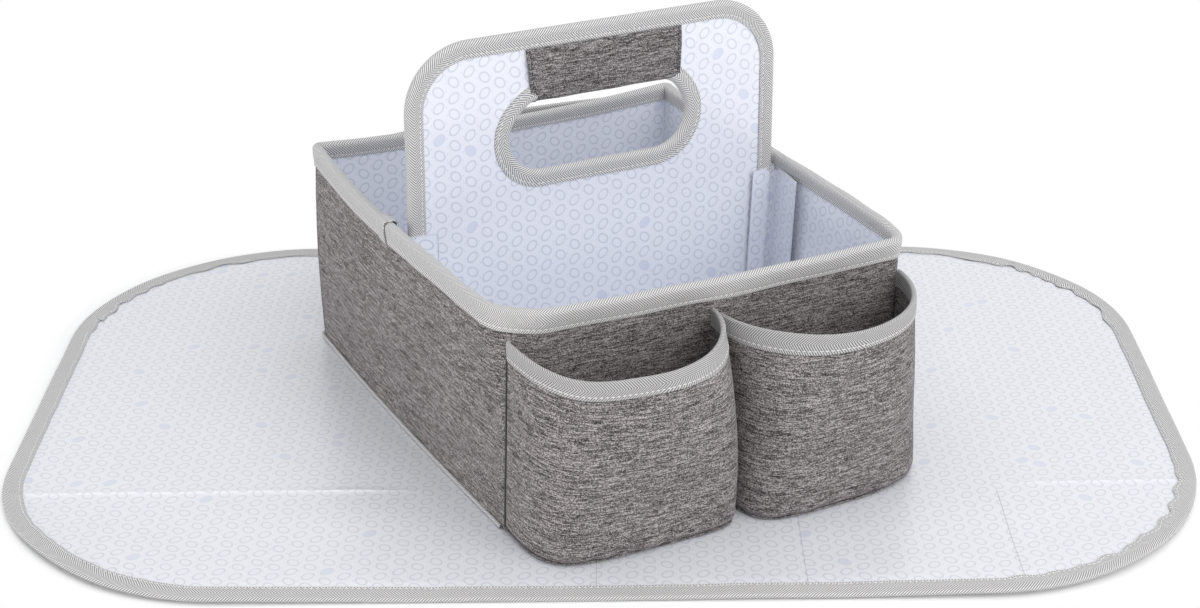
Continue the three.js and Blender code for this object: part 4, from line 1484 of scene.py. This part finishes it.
# what stays of the frame keeps its own shape and gets its finish
for node, piece in frame["nodes"].items():
    if not piece.hide_render:
        slot = next(part["material_slot"] for part in frame["record"]["subparts"] if part["node"] == node)
        piece.data.materials.clear()
        piece.data.materials.append(finishes[slot])
        print("kept", node)


# floor, world and lamps; a lamp has a place, a target, a width, a power and a colour
studio = {
    "floorSize": 30.0,
    "floorDown": 0.3 * mm,
    "floorSurface": {"Base Color": (0.98, 0.98, 0.98, 1), "Roughness": 0.9, "Specular IOR Level": 0.0},
    "nearWhite": 0.1,
    "shadowReach": (1.5 * mm, 13 * mm),
    "world": 0.5,
    "worldTint": (0.965, 0.985, 1.02),
    "lamps": (
        ("overhead", (0.1, 0.4, 2.6), (0, 0, 0.05), 3.0, 21, (1.0, 1.0, 1.0)),
        ("front", (0.6, -2.2, 1.95), (0, 0, 0.1), 3.6, 58, (1.0, 0.99, 0.98)),
        ("left", (-2.9, 0.3, 0.24), (0, 0, 0.1), 0.45, 22, (1.0, 0.96, 0.94)),
    ),
}


def makeFloor():
    # a plain floor that the camera sees as white, but for the soft shadow close to the mat
    half, down = studio["floorSize"] / 2, -studio["floorDown"]
    mesh = bpy.data.meshes.new("floor")
    corners = [(-half, -half, down), (half, -half, down), (half, half, down), (-half, half, down)]
    mesh.from_pydata(corners, [], [(0, 1, 2, 3)])
    floor = bpy.data.objects.new("floor", mesh)
    bpy.context.scene.collection.objects.link(floor)
    material, tree, shader = newFinish("pale_floor", studio["floorSurface"])
    path = addNode(tree, "ShaderNodeLightPath")
    glow = addNode(tree, "ShaderNodeEmission", {"Color": (1, 1, 1, 1), "Strength": 1.0})
    spot = addNode(tree, "ShaderNodeTexCoord").outputs["Object"]
    onMatAxes = addNode(tree, "ShaderNodeMapping", {
        "Vector": spot, "Location": (*mat["middle"], 0), "Rotation": (0, 0, math.radians(mat["turn"]))
    }, vector_type="TEXTURE").outputs[0]
    split = addNode(tree, "ShaderNodeSeparateXYZ", {"Vector": onMatAxes})
    pastX, pastY = (
        calc(tree, "MAXIMUM", calc(tree, "SUBTRACT", calc(tree, "ABSOLUTE", split.outputs[axis]), straight), 0.0)
        for axis, straight in (("X", matEnd), ("Y", matStraight))
    )
    fromMat = calc(tree, "SUBTRACT", hypot(tree, pastX, pastY), mat["corner"])
    white = addNode(tree, "ShaderNodeMapRange", {
        "Value": fromMat, "From Min": studio["shadowReach"][0], "From Max": studio["shadowReach"][1],
        "To Min": studio["nearWhite"], "To Max": 1.0
    }).outputs[0]
    blend = addNode(tree, "ShaderNodeMixShader", {
        "Fac": calc(tree, "MULTIPLY", path.outputs["Is Camera Ray"], white),
        1: shader.outputs["BSDF"],
        2: glow.outputs["Emission"],
    })
    tree.links.new(blend.outputs["Shader"], tree.nodes["Material Output"].inputs["Surface"])
    mesh.materials.append(material)


def makeLight():
    # a soft grey world, white where it is seen straight or mirrored, and the lamps
    world = bpy.data.worlds.new("studio")
    bpy.context.scene.world = world
    world.use_nodes = True
    tree = world.node_tree
    sky = tree.nodes["Background"]
    path = addNode(tree, "ShaderNodeLightPath")
    seen = calc(tree, "MAXIMUM", path.outputs["Is Camera Ray"], path.outputs["Is Transmission Ray"])
    seen = calc(tree, "MAXIMUM", seen, path.outputs["Is Glossy Ray"])
    strength = calc(tree, "MULTIPLY_ADD", seen, 1.0 - studio["world"], studio["world"])
    tree.links.new(mixed(tree, seen, studio["worldTint"], (1, 1, 1)), sky.inputs["Color"])
    tree.links.new(strength, sky.inputs["Strength"])
    for name, place, target, size, power, colour in studio["lamps"]:
        lamp = bpy.data.lights.new(name, "AREA")
        lamp.shape, lamp.size, lamp.energy, lamp.color = "DISK", size, power, colour
        holder = bpy.data.objects.new(name, lamp)
        holder.location = place
        holder.rotation_mode = "QUATERNION"
        holder.rotation_quaternion = (Vector(place) - Vector(target)).to_track_quat("Z", "Y")
        bpy.context.scene.collection.objects.link(holder)


makeFloor()
makeLight()
bpy.context.scene.view_settings.view_transform = "Standard"
print("studio lit")
